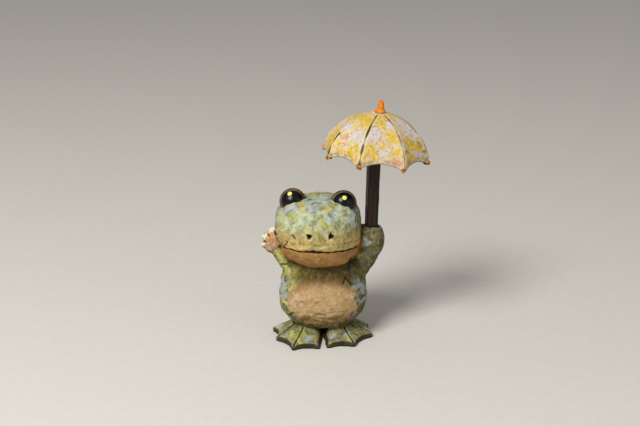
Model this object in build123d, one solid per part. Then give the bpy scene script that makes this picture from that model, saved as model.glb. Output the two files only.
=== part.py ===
from build123d import *
import math
import os

# Carved and painted wooden frog that holds up a small wooden parasol.
# Millimetres, +Z up. The frog faces -Y and its left hand, on the +X side, grips the parasol.
# The origin is on the table, at the middle of the joined soles.

# Body: an egg-shaped belly that stands on the feet.
BODY_HALF_WIDTH = 21.2
BODY_FRONT = 17.5
BODY_BACK = 16.0
BODY_GIRTH_HEIGHT = 19.5
BODY_RISE = 25.0
BODY_DROP = 15.2
BODY_FULLNESS = 2.15
BODY_CUTS = 130

# Head: cranium, upper lip and jaw, measured from the middle of the head. The face is set
# a little to the +X side, and the mouth rises towards the front.
HEAD_OFFSET = -2.3
HEAD_ABOVE_GIRTH = 37.3
HEAD_HALF_WIDTH = 20.3
HEAD_FRONT = 18.0
HEAD_BACK = 15.5
HEAD_RISE = 12.2
HEAD_DROP = 14.0
HEAD_FULLNESS = 2.7
HEAD_CUTS = 120
FACE_SHIFT = 0.9
LIP_INSET = 1.0
LIP_REACH = 4.0
LIP_DROP = 4.4
LIP_RISE = 16.8
LIP_UNDERCUT = 17.0
LIP_FULLNESS = 2.2
JAW_INSET = 2.3
JAW_REACH = 2.2
JAW_DEPTH = 8.8
JAW_FULLNESS = 2.4
FACE_BACK = 10.0
FACE_CUTS = 90
MOUTH_DROP = 10.6
MOUTH_TILT = -5.5
MOUTH_GAP = 0.6
MOUTH_DEPTH = 1.4
MOUTH_CORNER_FORWARD = 8.0

# Nostrils: three-sided chisel notches that narrow into the snout.
NOSTRIL_SPACING = 9.9
NOSTRIL_DROP = 1.0
NOSTRIL_RADIUS = 1.7
NOSTRIL_FLOOR_RADIUS = 0.5
NOSTRIL_DEPTH = 2.0

# Eyes: balls set into the top of the head, each with a ring cut round its dark front.
EYE_RADIUS = 6.2
EYE_SPACING = 23.4
EYE_FORWARD = 5.2
EYE_HEIGHT = 10.6
EYE_UNEVENNESS = 1.0
EYE_RING_RADIUS = 5.3
EYE_RING_WIDTH = 0.5
EYE_RING_DEPTH = 0.5
EYE_TURN = 2
EYE_LIFT = 16
BROW_INWARD = 1.3
BROW_FORWARD = 1.5
BROW_DROP = 2.9
BROW_RADIUS = 6.8
BROW_REACH = 6.6
BROW_RISE = 6.6
BROW_CUTS = 60

# Feet: webbed fans whose toes spread from the ankles, each toe as (degrees outwards, length).
ANKLE_SPACING = 8.6
ANKLE_BACK = 5.0
FOOT_RISE = 11.0
FOOT_EDGE = 2.4
RIGHT_TOES = ((-4.5, 25.4), (20.0, 28.4), (48.5, 23.2), (81.0, 20.0))
LEFT_TOES = ((-4.1, 24.2), (24.5, 24.8), (60.0, 22.0), (95.0, 17.8))
TOE_TIP_WIDTH = 1.6
TOE_GROOVE_WIDTH = 1.0
WEB_INSET = 1.7
HEEL_ANGLE = 150
HEEL_LENGTH = 7.0
FEET_OVERLAP = 0.6
FEET_NOTCH = 8.5

# Raised right arm, its open palm to the front, with blunt fingers given in degrees from +X.
# The joints of both arms are measured from the middle of the belly.
WAVE_SHOULDER = (-12.1, -1.5, 11.1)
WAVE_WRIST = (-22.0, -2.0, 24.2)
WAVE_ARM_RADIUS = 3.8
PALM_HALF_WIDTH = 4.1
PALM_HALF_HEIGHT = 5.6
PALM_HALF_DEPTH = 3.0
PALM_FROM_WRIST = (-1.7, 0.0, 3.5)
FINGER_ANGLES = (90, 154, 196)
FINGER_LENGTH = 3.2
FINGER_RADIUS = 1.7

# Left arm, whose fist grips the foot of the parasol.
GRIP_SHOULDER = (12.5, 0.5, 11.5)
GRIP = (22.7, 2.0, 34.1)
GRIP_ARM_RADIUS = 7.0
FIST_HALF_WIDTH = 6.5
FIST_HALF_DEPTH = 6.3
FIST_HEIGHT = 13.5
FIST_TRIM = 1.2
FIST_FULLNESS = 2.8
LIMB_CUTS = 60
LIMB_FULLNESS = 2.3
SMALL_CUTS = 34

# Parasol: measured along the leaning stick from the top of the fist. The canopy leans more
# than the stick does, about the middle of its rim, and its panels differ in width: the turn
# of each rib about the canopy's axis is given in degrees from +X.
STICK_LEAN = 1.5
STICK_WIDTH = 5.6
STICK_TURN = 10
STICK_CHAMFER = 0.5
TENON_RADIUS = 1.8
TENON_LENGTH = 5.0
TENON_CLEARANCE = 0.1
BORE_SPARE_DEPTH = 0.4
RIM_HEIGHT = 33.7
CANOPY_LEAN = 5.0
CANOPY_SHIFT = 0.8
CANOPY_RADIUS = 25.35
CANOPY_RISE = 21.15
CANOPY_WALL = 2.6
CANOPY_STRAIGHTNESS = 1.12
CANOPY_LEVELS = 8
RIB_TURNS = (-15, 30, 75, 120, 166, 205, 250, 299)
PANEL_HOLLOW = 0.97
CROWN_FLAT_RADIUS = 3.6
SCALLOP_RISES = (2.8, 2.8, 2.6, 2.4, 1.4, 2.8, 2.8, 2.8)
RIB_TIP_WIDTH = 1.8
RIB_KNOB_RADIUS = 1.2
RIB_KNOB_INSET = 0.6
RIB_KNOB_CUTS = 20
BOSS_RADIUS = 4.4
BOSS_LENGTH = 7.0

# Finial: the peg on top of the canopy.
FINIAL_HEIGHT = 5.8
FINIAL_FOOT_RADIUS = 3.0
FINIAL_FOOT_HEIGHT = 0.8
FINIAL_NECK_RADIUS = 1.8
FINIAL_NECK_HEIGHT = 2.4
FINIAL_TIP_RADIUS = 1.45
FINIAL_TENON_RADIUS = 1.1
FINIAL_TENON_LENGTH = 2.6

CUTTER_SIZE = 80.0
FULL_TURN = 360

BODY_MIDDLE = Vector(0, 0, BODY_GIRTH_HEIGHT)
HEAD_HEIGHT = BODY_GIRTH_HEIGHT + HEAD_ABOVE_GIRTH
SNOUT_FRONT = HEAD_FRONT + LIP_REACH
BOSS_FOOT = RIM_HEIGHT + CANOPY_RISE - CANOPY_WALL - BOSS_LENGTH
LEAN = math.radians(STICK_LEAN)
FACE_MIDDLE = HEAD_OFFSET + FACE_SHIFT
MOUTH_SLOPE = math.radians(MOUTH_TILT)
MOUTH_PLANE = Plane(
    origin=(FACE_MIDDLE, 0, HEAD_HEIGHT - MOUTH_DROP),
    x_dir=(1, 0, 0),
    z_dir=(0, -math.sin(MOUTH_SLOPE), math.cos(MOUTH_SLOPE)),
)
PARASOL_FRAME = Plane(
    origin=BODY_MIDDLE + Vector(*GRIP),
    x_dir=(math.cos(LEAN), 0, -math.sin(LEAN)),
    z_dir=(math.sin(LEAN), 0, math.cos(LEAN)),
)
CANOPY_PLACE = Pos(CANOPY_SHIFT, 0, RIM_HEIGHT) * Rot(0, CANOPY_LEAN - STICK_LEAN, 0)


def spread_directions(count):
    """Directions spread evenly over a ball, along a golden spiral about the Y axis."""
    golden_angle = math.pi * (3 - math.sqrt(5))
    for index in range(count):
        height = 1 - (2 * index + 1) / count
        ring = math.sqrt(1 - height * height)
        turn = index * golden_angle
        yield Vector(ring * math.cos(turn), height, ring * math.sin(turn))


def carved_form(right, left, back, front, up, down, fullness=2.0, cuts=SMALL_CUTS):
    """A block cut round by flat chisel strokes that each touch one swollen egg shape.

    The six lengths are the reaches of the egg from its middle. With a fullness of 2 it is
    an ellipsoid, and with more it is squarer.
    """
    middle = Pos((right - left) / 2, (back - front) / 2, (up - down) / 2)
    form = middle * Box(right + left, back + front, up + down)
    power = fullness / (fullness - 1)
    for normal in spread_directions(cuts):
        across = abs(normal.X) * (right if normal.X > 0 else left)
        along = abs(normal.Y) * (back if normal.Y > 0 else front)
        upward = abs(normal.Z) * (up if normal.Z > 0 else down)
        reach = (across**power + along**power + upward**power) ** (1 / power)
        stroke = Plane(origin=normal * reach, z_dir=normal)
        form = split(form, bisect_by=stroke, keep=Keep.BOTTOM)
    return form


def carved_limb(start, end, radius):
    """A carved form whose long axis runs from one point to another and a little past both."""
    run = end - start
    half = run.length / 2 + radius / 2
    form = carved_form(
        radius, radius, radius, radius, half, half, LIMB_FULLNESS, LIMB_CUTS
    )
    return Plane(origin=start + run / 2, z_dir=run) * form


def body():
    """The egg-shaped belly."""
    width = BODY_HALF_WIDTH
    form = carved_form(
        width, width, BODY_BACK, BODY_FRONT, BODY_RISE, BODY_DROP, BODY_FULLNESS, BODY_CUTS
    )
    return Location(BODY_MIDDLE) * form


def cranium():
    """The upper part of the head."""
    width = HEAD_HALF_WIDTH
    form = carved_form(
        width, width, HEAD_BACK, HEAD_FRONT, HEAD_RISE, HEAD_DROP, HEAD_FULLNESS, HEAD_CUTS
    )
    return Pos(HEAD_OFFSET, 0, HEAD_HEIGHT) * form


def upper_lip():
    """The forehead and snout, which reach out over the jaw and are cut off at the mouth."""
    width = HEAD_HALF_WIDTH - LIP_INSET
    form = carved_form(
        width, width, FACE_BACK, SNOUT_FRONT, LIP_RISE, LIP_UNDERCUT, LIP_FULLNESS, FACE_CUTS
    )
    form = Pos(FACE_MIDDLE, 0, HEAD_HEIGHT - LIP_DROP) * form
    return split(form, bisect_by=MOUTH_PLANE, keep=Keep.TOP)


def jaw():
    """The bowl-shaped lower jaw, a little narrower than the lip above it."""
    width = HEAD_HALF_WIDTH - JAW_INSET
    front = HEAD_FRONT + JAW_REACH
    form = carved_form(
        width, width, FACE_BACK, front, MOUTH_DROP, JAW_DEPTH, JAW_FULLNESS, FACE_CUTS
    )
    form = Pos(FACE_MIDDLE, 0, HEAD_HEIGHT - MOUTH_DROP) * form
    return split(form, bisect_by=MOUTH_PLANE, keep=Keep.BOTTOM)


def mouth_cut():
    """A thin slot round the front of the head, which parts the lip from the jaw."""
    slab = Box(CUTTER_SIZE, CUTTER_SIZE, MOUTH_GAP)
    slab = Pos(0, -CUTTER_SIZE / 2 - MOUTH_CORNER_FORWARD, 0) * slab
    core = Ellipse(HEAD_HALF_WIDTH - JAW_INSET - MOUTH_DEPTH, HEAD_FRONT + JAW_REACH - MOUTH_DEPTH)
    core = extrude(core, amount=MOUTH_GAP, both=True)
    return MOUTH_PLANE * (slab - core)


def nostril_cut(side):
    """A three-sided notch that narrows as it goes into the snout."""
    length = LIP_REACH + NOSTRIL_DEPTH
    start = Plane(
        origin=(
            FACE_MIDDLE + side * NOSTRIL_SPACING / 2,
            -SNOUT_FRONT,
            HEAD_HEIGHT - NOSTRIL_DROP,
        ),
        x_dir=(1, 0, 0),
        z_dir=(0, -1, 0),
    )
    mouth = RegularPolygon(NOSTRIL_RADIUS, 3, rotation=90)
    floor = Pos(0, 0, -length) * RegularPolygon(NOSTRIL_FLOOR_RADIUS, 3, rotation=90)
    return start * loft([mouth, floor], ruled=True)


def eye_place(side):
    """The middle of an eyeball. The one on the +X side sits a little lower."""
    return Pos(
        HEAD_OFFSET + side * EYE_SPACING / 2,
        -EYE_FORWARD,
        HEAD_HEIGHT + EYE_HEIGHT - side * EYE_UNEVENNESS / 2,
    )


def brow(side):
    """The mound below an eyeball, which hides its lower, inner half."""
    width = BROW_RADIUS
    mound = carved_form(
        width, width, BROW_RADIUS, BROW_REACH, BROW_RISE, BROW_RISE, cuts=BROW_CUTS
    )
    return eye_place(side) * Pos(-side * BROW_INWARD, -BROW_FORWARD, -BROW_DROP) * mound


def eye(side):
    """An eyeball with a ring cut round the part that is painted dark."""
    ring_foot = math.sqrt(EYE_RADIUS**2 - EYE_RING_RADIUS**2) - EYE_RING_DEPTH
    ring = Cylinder(EYE_RING_RADIUS + EYE_RING_WIDTH / 2, EYE_RADIUS)
    ring -= Cylinder(EYE_RING_RADIUS - EYE_RING_WIDTH / 2, EYE_RADIUS)
    ball = Sphere(EYE_RADIUS) - Pos(0, 0, ring_foot + EYE_RADIUS / 2) * ring
    return eye_place(side) * Rot(0, 0, side * EYE_TURN) * Rot(90 - EYE_LIFT, 0, 0) * ball


def toe_point(side, angle, length, sideways=0.0):
    """A point on the ground at a length from the ankle along a toe, or beside it."""
    turn = math.radians(angle)
    outward = length * math.sin(turn) + sideways * math.cos(turn)
    forward = length * math.cos(turn) - sideways * math.sin(turn)
    return Vector(side * (ANKLE_SPACING / 2 + outward), ANKLE_BACK - forward, 0)


def web_edge(start, end, ankle):
    """The hollow edge of the web between two toe tips."""
    middle = (start + end) / 2
    inward = (ankle - middle).normalized() * WEB_INSET
    return ThreePointArc(start, middle + inward, end)


def foot(side, toes):
    """A webbed fan that slopes down from the ankle, with a groove along each toe."""
    ankle = toe_point(side, 0, 0)
    heel = toe_point(side, HEEL_ANGLE, HEEL_LENGTH)
    inner_front = toe_point(side, *toes[0], -TOE_TIP_WIDTH / 2)
    notch = Vector(-side * FEET_OVERLAP / 2, inner_front.Y + FEET_NOTCH, 0)
    inner_back = Vector(-side * FEET_OVERLAP / 2, heel.Y, 0)
    edges = []
    last = inner_front
    for angle, length in toes:
        near = toe_point(side, angle, length, -TOE_TIP_WIDTH / 2)
        far = toe_point(side, angle, length, TOE_TIP_WIDTH / 2)
        if near != last:
            edges.append(web_edge(last, near, ankle))
        edges.append(Line(near, far))
        last = far
    edges.append(web_edge(last, heel, ankle))
    edges.append(Polyline(heel, inner_back, notch, inner_front))
    slab = extrude(make_face(edges), amount=FOOT_RISE)

    peak = ankle + Vector(0, 0, FOOT_RISE)
    corners = [toe_point(side, *toe) for toe in toes]
    ring = [inner_back] + corners + [heel]
    for start, end in zip(ring, ring[1:]):
        slope = Plane(Face(Wire.make_polygon([peak, rim_point(start), rim_point(end)])))
        if slope.z_dir.Z < 0:
            slope = -slope
        slab = split(slab, bisect_by=slope, keep=Keep.BOTTOM)
    for corner in corners:
        slab -= toe_groove(peak, rim_point(corner))
    return slab


def rim_point(point):
    """The point at the top of a foot's edge above a point of its outline."""
    return Vector(point.X, point.Y, FOOT_EDGE)


def toe_groove(peak, tip):
    """A square bar set on edge along the ridge of a toe, which cuts a V-shaped groove."""
    run = tip - peak
    bar = Rot(0, 0, 45) * Box(TOE_GROOVE_WIDTH, TOE_GROOVE_WIDTH, 2 * run.length)
    return Plane(origin=peak, x_dir=run.cross(Vector(0, 0, 1)), z_dir=run) * bar


def waving_arm():
    """The raised right arm, its palm and its blunt fingers."""
    wrist = BODY_MIDDLE + Vector(*WAVE_WRIST)
    palm_middle = wrist + Vector(*PALM_FROM_WRIST)
    palm = carved_form(
        PALM_HALF_WIDTH,
        PALM_HALF_WIDTH,
        PALM_HALF_DEPTH,
        PALM_HALF_DEPTH,
        PALM_HALF_HEIGHT,
        PALM_HALF_HEIGHT,
        LIMB_FULLNESS,
    )
    arm = carved_limb(BODY_MIDDLE + Vector(*WAVE_SHOULDER), wrist, WAVE_ARM_RADIUS)
    arm += Location(palm_middle) * palm
    for angle in FINGER_ANGLES:
        turn = math.radians(angle)
        outward = Vector(math.cos(turn), 0, math.sin(turn))
        root = palm_middle + Vector(
            outward.X * (PALM_HALF_WIDTH - FINGER_RADIUS),
            0,
            outward.Z * (PALM_HALF_HEIGHT - FINGER_RADIUS),
        )
        finger = carved_form(
            FINGER_RADIUS,
            FINGER_RADIUS,
            FINGER_RADIUS,
            FINGER_RADIUS,
            FINGER_LENGTH,
            FINGER_LENGTH,
            LIMB_FULLNESS,
        )
        arm += Plane(origin=root, x_dir=(0, 1, 0), z_dir=outward) * finger
    return arm


def gripping_arm():
    """The raised left arm and its fist, with a flat top and a socket for the parasol."""
    fist = carved_form(
        FIST_HALF_WIDTH,
        FIST_HALF_WIDTH,
        FIST_HALF_DEPTH,
        FIST_HALF_DEPTH,
        FIST_HEIGHT / 2 + FIST_TRIM,
        FIST_HEIGHT / 2,
        FIST_FULLNESS,
        LIMB_CUTS,
    )
    fist = Pos(0, 0, -FIST_HEIGHT / 2) * fist
    fist = split(fist, bisect_by=Plane.XY, keep=Keep.BOTTOM)
    wrist = PARASOL_FRAME.from_local_coords(Vector(0, 0, -FIST_HEIGHT / 2 - GRIP_ARM_RADIUS / 2))
    arm = carved_limb(BODY_MIDDLE + Vector(*GRIP_SHOULDER), wrist, GRIP_ARM_RADIUS)
    return arm + PARASOL_FRAME * fist


def stick_socket():
    """The bore in the fist that takes the lower tenon of the stick."""
    depth = TENON_LENGTH + BORE_SPARE_DEPTH
    bore = Cylinder(TENON_RADIUS + TENON_CLEARANCE, depth)
    return PARASOL_FRAME * (Pos(0, 0, -depth / 2) * bore)


def frog_figure():
    """The whole frog, carved from one block."""
    figure = body() + cranium() + upper_lip() + jaw()
    figure -= mouth_cut()
    for side in (-1, 1):
        figure -= nostril_cut(side)
        figure += brow(side)
        figure += eye(side)
    figure += foot(-1, RIGHT_TOES) + foot(1, LEFT_TOES)
    figure += waving_arm() + gripping_arm()
    return figure - stick_socket()


def umbrella_stick():
    """A square stick with a round tenon at each end."""
    bar = Box(STICK_WIDTH, STICK_WIDTH, BOSS_FOOT)
    bar = chamfer(bar.edges().filter_by(Axis.Z), STICK_CHAMFER)
    bar = Pos(0, 0, BOSS_FOOT / 2) * Rot(0, 0, STICK_TURN) * bar
    for seat, way in ((0, -1), (BOSS_FOOT, 1)):
        bar += Pos(0, 0, seat + way * TENON_LENGTH / 2) * Cylinder(TENON_RADIUS, TENON_LENGTH)
    return PARASOL_FRAME * bar


def panel(index):
    """The turn of a panel's middle and half of the turn from rib to rib, in degrees."""
    start = RIB_TURNS[index]
    end = RIB_TURNS[index + 1] if index + 1 < len(RIB_TURNS) else RIB_TURNS[0] + FULL_TURN
    return (start + end) / 2, (end - start) / 2


def star_ring(radius, height):
    """The corners of a level outline: one at each rib, and one in each slightly hollow panel."""
    corners = []
    for index, rib_turn in enumerate(RIB_TURNS):
        middle_turn, half_turn = panel(index)
        valley = radius * math.cos(math.radians(half_turn)) * PANEL_HOLLOW
        for turn, reach in ((rib_turn, radius), (middle_turn, valley)):
            turn = math.radians(turn)
            corners.append(Vector(reach * math.cos(turn), reach * math.sin(turn), height))
    return corners


def flat_face(*corners):
    """A flat face through its corners."""
    return Face(Wire.make_polygon(corners))


def ribbed_dome(radius, rise):
    """A dome of flat strips from rib to rib, with a small flat crown.

    A straightness of 1 gives its ribs the curve of an ellipse, and more makes them straighter.
    """
    crown_turn = math.acos((CROWN_FLAT_RADIUS / radius) ** (1 / CANOPY_STRAIGHTNESS))
    rings = []
    for level in range(CANOPY_LEVELS):
        turn = crown_turn * level / (CANOPY_LEVELS - 1)
        height = rise * math.sin(turn) / math.sin(crown_turn)
        rings.append(star_ring(radius * math.cos(turn) ** CANOPY_STRAIGHTNESS, height))
    faces = [flat_face(*rings[0]), flat_face(*rings[-1])]
    for low, high in zip(rings, rings[1:]):
        for index, corner in enumerate(low):
            faces.append(flat_face(low[index - 1], corner, high[index], high[index - 1]))
    return Solid(Shell(faces))


def scallop_cutter(index, rise):
    """A cylinder lying outwards under one panel, which hollows its rim by the given rise."""
    middle_turn, half_turn = panel(index)
    chord = 2 * CANOPY_RADIUS * math.sin(math.radians(half_turn)) - RIB_TIP_WIDTH
    radius = (chord**2 / 4 + rise**2) / (2 * rise)
    cutter = Rot(0, 90, 0) * Cylinder(radius, CANOPY_RADIUS)
    cutter = Pos(CANOPY_RADIUS, 0, rise - radius) * cutter
    return Rot(0, 0, middle_turn) * cutter


def umbrella_canopy():
    """The hollow eight-ribbed canopy, with its scalloped rim, its carved rib knobs and its boss.

    The boss stands on the line of the stick, a little to one side of the crown.
    """
    canopy = ribbed_dome(CANOPY_RADIUS, CANOPY_RISE)
    canopy -= ribbed_dome(CANOPY_RADIUS - CANOPY_WALL, CANOPY_RISE - CANOPY_WALL)
    knob = carved_form(*[RIB_KNOB_RADIUS] * 6, cuts=RIB_KNOB_CUTS)
    knob = Pos(CANOPY_RADIUS - RIB_KNOB_INSET, 0, RIB_KNOB_INSET) * knob
    for index, rise in enumerate(SCALLOP_RISES):
        canopy -= scallop_cutter(index, rise)
        canopy += Rot(0, 0, RIB_TURNS[index]) * knob
    peg_depth = FINIAL_TENON_LENGTH + BORE_SPARE_DEPTH
    peg_bore = Cylinder(FINIAL_TENON_RADIUS + TENON_CLEARANCE, peg_depth)
    peg_bore = Pos(0, 0, CANOPY_RISE - peg_depth / 2) * peg_bore
    boss_height = BOSS_LENGTH + CANOPY_WALL / 2
    boss = Pos(0, 0, BOSS_FOOT + boss_height / 2) * Cylinder(BOSS_RADIUS, boss_height)
    bore_depth = TENON_LENGTH + BORE_SPARE_DEPTH
    bore = Cylinder(TENON_RADIUS + TENON_CLEARANCE, bore_depth)
    bore = Pos(0, 0, BOSS_FOOT + bore_depth / 2) * bore
    canopy = CANOPY_PLACE * canopy + boss
    canopy -= CANOPY_PLACE * peg_bore
    return PARASOL_FRAME * (canopy - bore)


def umbrella_finial():
    """A turned peg with a wide foot, a waist and a rounded tip."""
    tip_foot = FINIAL_HEIGHT - FINIAL_TIP_RADIUS
    tip_shoulder = FINIAL_TIP_RADIUS * math.sin(math.radians(45))
    profile = [
        Polyline(
            (0, -FINIAL_TENON_LENGTH),
            (FINIAL_TENON_RADIUS, -FINIAL_TENON_LENGTH),
            (FINIAL_TENON_RADIUS, 0),
            (FINIAL_FOOT_RADIUS, 0),
            (FINIAL_FOOT_RADIUS, FINIAL_FOOT_HEIGHT),
            (FINIAL_NECK_RADIUS, FINIAL_NECK_HEIGHT),
            (FINIAL_TIP_RADIUS, tip_foot),
        ),
        ThreePointArc(
            (FINIAL_TIP_RADIUS, tip_foot),
            (tip_shoulder, tip_foot + tip_shoulder),
            (0, FINIAL_HEIGHT),
        ),
        Line((0, FINIAL_HEIGHT), (0, -FINIAL_TENON_LENGTH)),
    ]
    peg = revolve(Plane.XZ * make_face(profile), axis=Axis.Z)
    return PARASOL_FRAME * CANOPY_PLACE * (Pos(0, 0, CANOPY_RISE) * peg)


def main():
    os.makedirs("parts", exist_ok=True)
    export_step(frog_figure(), "parts/frog_figure.step")
    export_step(umbrella_stick(), "parts/umbrella_stick.step")
    export_step(umbrella_canopy(), "parts/umbrella_canopy.step")
    export_step(umbrella_finial(), "parts/umbrella_finial.step")


main()
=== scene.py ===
# %% [markdown]
# # A carved wooden frog with a parasol
#
# This lesson dresses a fixed CAD model of a small hand-carved figure: a frog that stands on
# webbed feet, waves, and holds up a wooden parasol. The CAD solids give every size and place,
# and here each one gets the surface that a carver and a painter would leave on it.
# The first cell loads the solids and keeps their box, because the looks may not outgrow it.

import math

import bpy
import numpy as np
from mathutils import Matrix, Vector, kdtree


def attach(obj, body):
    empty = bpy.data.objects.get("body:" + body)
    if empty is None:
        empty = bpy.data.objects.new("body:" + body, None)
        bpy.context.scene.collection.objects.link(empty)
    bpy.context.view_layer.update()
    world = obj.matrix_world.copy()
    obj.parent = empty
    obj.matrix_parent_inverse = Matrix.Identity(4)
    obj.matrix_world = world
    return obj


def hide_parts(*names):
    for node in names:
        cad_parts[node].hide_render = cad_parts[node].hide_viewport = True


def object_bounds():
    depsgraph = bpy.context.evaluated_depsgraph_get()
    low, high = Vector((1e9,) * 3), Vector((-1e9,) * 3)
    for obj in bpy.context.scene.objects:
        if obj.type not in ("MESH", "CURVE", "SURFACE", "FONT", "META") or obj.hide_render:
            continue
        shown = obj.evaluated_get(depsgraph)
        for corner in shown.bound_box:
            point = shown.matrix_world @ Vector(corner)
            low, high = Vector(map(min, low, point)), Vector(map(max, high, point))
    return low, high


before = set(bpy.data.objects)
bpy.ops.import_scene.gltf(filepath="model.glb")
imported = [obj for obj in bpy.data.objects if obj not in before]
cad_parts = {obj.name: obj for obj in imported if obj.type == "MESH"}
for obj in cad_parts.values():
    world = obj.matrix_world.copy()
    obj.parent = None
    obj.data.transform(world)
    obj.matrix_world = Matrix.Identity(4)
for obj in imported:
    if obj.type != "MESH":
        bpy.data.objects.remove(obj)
CAD_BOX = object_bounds()
MM = 0.001
cad_size = [round(side / MM, 1) for side in CAD_BOX[1] - CAD_BOX[0]]
print("blanks:", sorted(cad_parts), "in a box of", cad_size, "mm")

# %% [markdown]
# Carving is done on the mesh's corner points, so the lesson needs a way to read them and to
# write them back. Everything here is counted in millimetres, because that is how a carver
# thinks, and is turned into metres only when it goes into the mesh. A painter works from one
# side, so the lesson also needs to know where the camera sees each point. Two more helpers
# keep the selection tidy, because an operator acts on all that is selected.

# %% Read and write a piece's points
def points_of(piece):
    """Where each point of a piece's mesh is, in millimetres."""
    flat = np.empty(3 * len(piece.data.vertices), np.float32)
    piece.data.vertices.foreach_get("co", flat)
    return flat.reshape(-1, 3).astype(float) / MM


def facing_of(piece):
    """Which way the surface faces at each point."""
    flat = np.empty(3 * len(piece.data.vertices), np.float32)
    piece.data.vertex_normals.foreach_get("vector", flat)
    return flat.reshape(-1, 3).astype(float)


def put_points(piece, points):
    """Moves each point of the mesh to a place given in millimetres."""
    piece.data.vertices.foreach_set("co", (points * MM).astype(np.float32).ravel())
    piece.data.update()


VIEW_MIDDLE = np.array((-1.4, 0.0, 60.5))
VIEW_PITCH = math.radians(18)
VIEW_DISTANCE = 655.0
VIEW_AWAY = np.array((0, -math.cos(VIEW_PITCH), math.sin(VIEW_PITCH)))
VIEW_UP = np.array((0, math.sin(VIEW_PITCH), math.cos(VIEW_PITCH)))


def from_front(points):
    """Where the camera sees each point: millimetres across and up from the middle of its view."""
    off = points - VIEW_MIDDLE
    scale = VIEW_DISTANCE / (VIEW_DISTANCE - off @ VIEW_AWAY)
    return np.column_stack((off[:, 0], off @ VIEW_UP)) * scale[:, None]


def paint_guide(piece, name, amount):
    """Stores a number from 0 to 1 at each point, for the paint to follow."""
    guide = piece.data.attributes.get(name) or piece.data.attributes.new(name, "FLOAT", "POINT")
    guide.data.foreach_set("value", np.clip(amount, 0, 1).astype(np.float32))


def ease(value, low, high):
    """0 below low, 1 above high, and a smooth rise between them."""
    share = np.clip((value - low) / (high - low), 0, 1)
    return share * share * (3 - 2 * share)


def notch(off, half_width):
    """How deep a V is at each distance from its middle: 1 in the middle and 0 at its edge."""
    return np.clip(1 - off / half_width, 0, 1)


def lone_active(piece):
    """Selects one piece alone and makes it the active one."""
    bpy.ops.object.select_all(action="DESELECT")
    piece.select_set(True)
    bpy.context.view_layer.objects.active = piece


def add_shape(operator, name, **settings):
    """Adds a shape with nothing else selected, and names it."""
    bpy.ops.object.select_all(action="DESELECT")
    operator(**settings)
    bpy.context.object.name = name
    return bpy.context.object


# %% [markdown]
# The frog is one block of wood. Its blank has the right forms but large flat faces, and a
# carving needs small, even ones. A copy of the blank is merged, then the Remesh modifier
# rebuilds it from little cubes about half a millimetre wide. The slot of the mouth is too thin
# to come out well at that size, so it is first filled with a disc and cut again later.

# %% Rebuild the frog's blank with even faces
FACE_MIDDLE = np.array((-1.4, 0.0, 56.8))
MOUTH_MIDDLE = FACE_MIDDLE - (0, 0, 10.6)
MOUTH_TILT = math.radians(-5.5)
MOUTH_FILLER = (17.3, 13.8, 1.2)
FACE_SIZE = 0.54


def fresh_copy(node, name):
    """A copy of a blank with its loose triangles merged."""
    piece = bpy.data.objects.new(name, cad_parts[node].data.copy())
    bpy.context.scene.collection.objects.link(piece)
    lone_active(piece)
    bpy.ops.object.mode_set(mode="EDIT")
    bpy.ops.mesh.select_all(action="SELECT")
    bpy.ops.mesh.remove_doubles(threshold=0.001 * MM)
    bpy.ops.object.mode_set(mode="OBJECT")
    piece.data.materials.clear()
    return piece


def apply_modifier(piece, kind, **settings):
    """Adds a modifier, sets it and applies it."""
    modifier = piece.modifiers.new(kind.lower(), kind)
    for key, value in settings.items():
        setattr(modifier, key, value)
    lone_active(piece)
    bpy.ops.object.modifier_apply(modifier=modifier.name)


filler = add_shape(
    bpy.ops.mesh.primitive_cylinder_add, "filler", vertices=64, radius=1, depth=1,
    location=Vector((MOUTH_MIDDLE + (0, -6.0, 0.6)) * MM),
)
filler.scale = Vector(MOUTH_FILLER) * MM
filler.rotation_euler.x = MOUTH_TILT
bpy.ops.object.transform_apply(location=True, rotation=True, scale=True)
frog = fresh_copy("frog_figure", "frog_carving")
filler.select_set(True)
bpy.ops.object.join()
apply_modifier(frog, "REMESH", mode="VOXEL", voxel_size=FACE_SIZE * MM)
print("frog:", len(frog.data.polygons), "even faces")

# %% [markdown]
# Much of the work has to know where the surface is hollow and where it has an edge. To find
# out, a relaxed copy of the points is made, in which each has moved towards its neighbours
# many times. A point that lies under its relaxed place is in a hollow, and one that lies
# above it is on an edge. More rounds find wider hollows.

# %% Find the hollows and the edges
def relaxed(piece, points, rounds):
    """The points after each has moved towards its neighbours a number of times."""
    ends = np.empty(2 * len(piece.data.edges), np.int32)
    piece.data.edges.foreach_get("vertices", ends)
    one, other = ends[::2], ends[1::2]
    count = np.bincount(ends, minlength=len(points))
    points = points.copy()
    for _ in range(rounds):
        total = np.empty_like(points)
        for axis in range(3):
            values = points[:, axis]
            total[:, axis] = np.bincount(one, values[other], len(points))
            total[:, axis] += np.bincount(other, values[one], len(points))
        points = (points + total / count[:, None]) / 2
    return points


def rise_of(piece, rounds):
    """How far each point stands above its relaxed place, in millimetres."""
    points = points_of(piece)
    return ((points - relaxed(piece, points, rounds)) * facing_of(piece)).sum(axis=1)


def mark_relief(piece, hollow_depth, edge_height, rounds):
    """Stores guides for the hollows and for the edges of a piece."""
    rise = rise_of(piece, rounds)
    paint_guide(piece, "hollow", ease(-rise, 0.015, hollow_depth))
    paint_guide(piece, "edge", ease(rise, 0.015, edge_height))
    return rise


# %% [markdown]
# The blank's facets are wider than real chisel marks, so the broad forms are smoothed first.
# The feet, the waving hand, the nostrils and the top of the fist keep their edges, and so do
# the deep creases round the neck, the arms and the eyes: a vertex group tells the Smooth
# modifier where to work, and how much.

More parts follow.
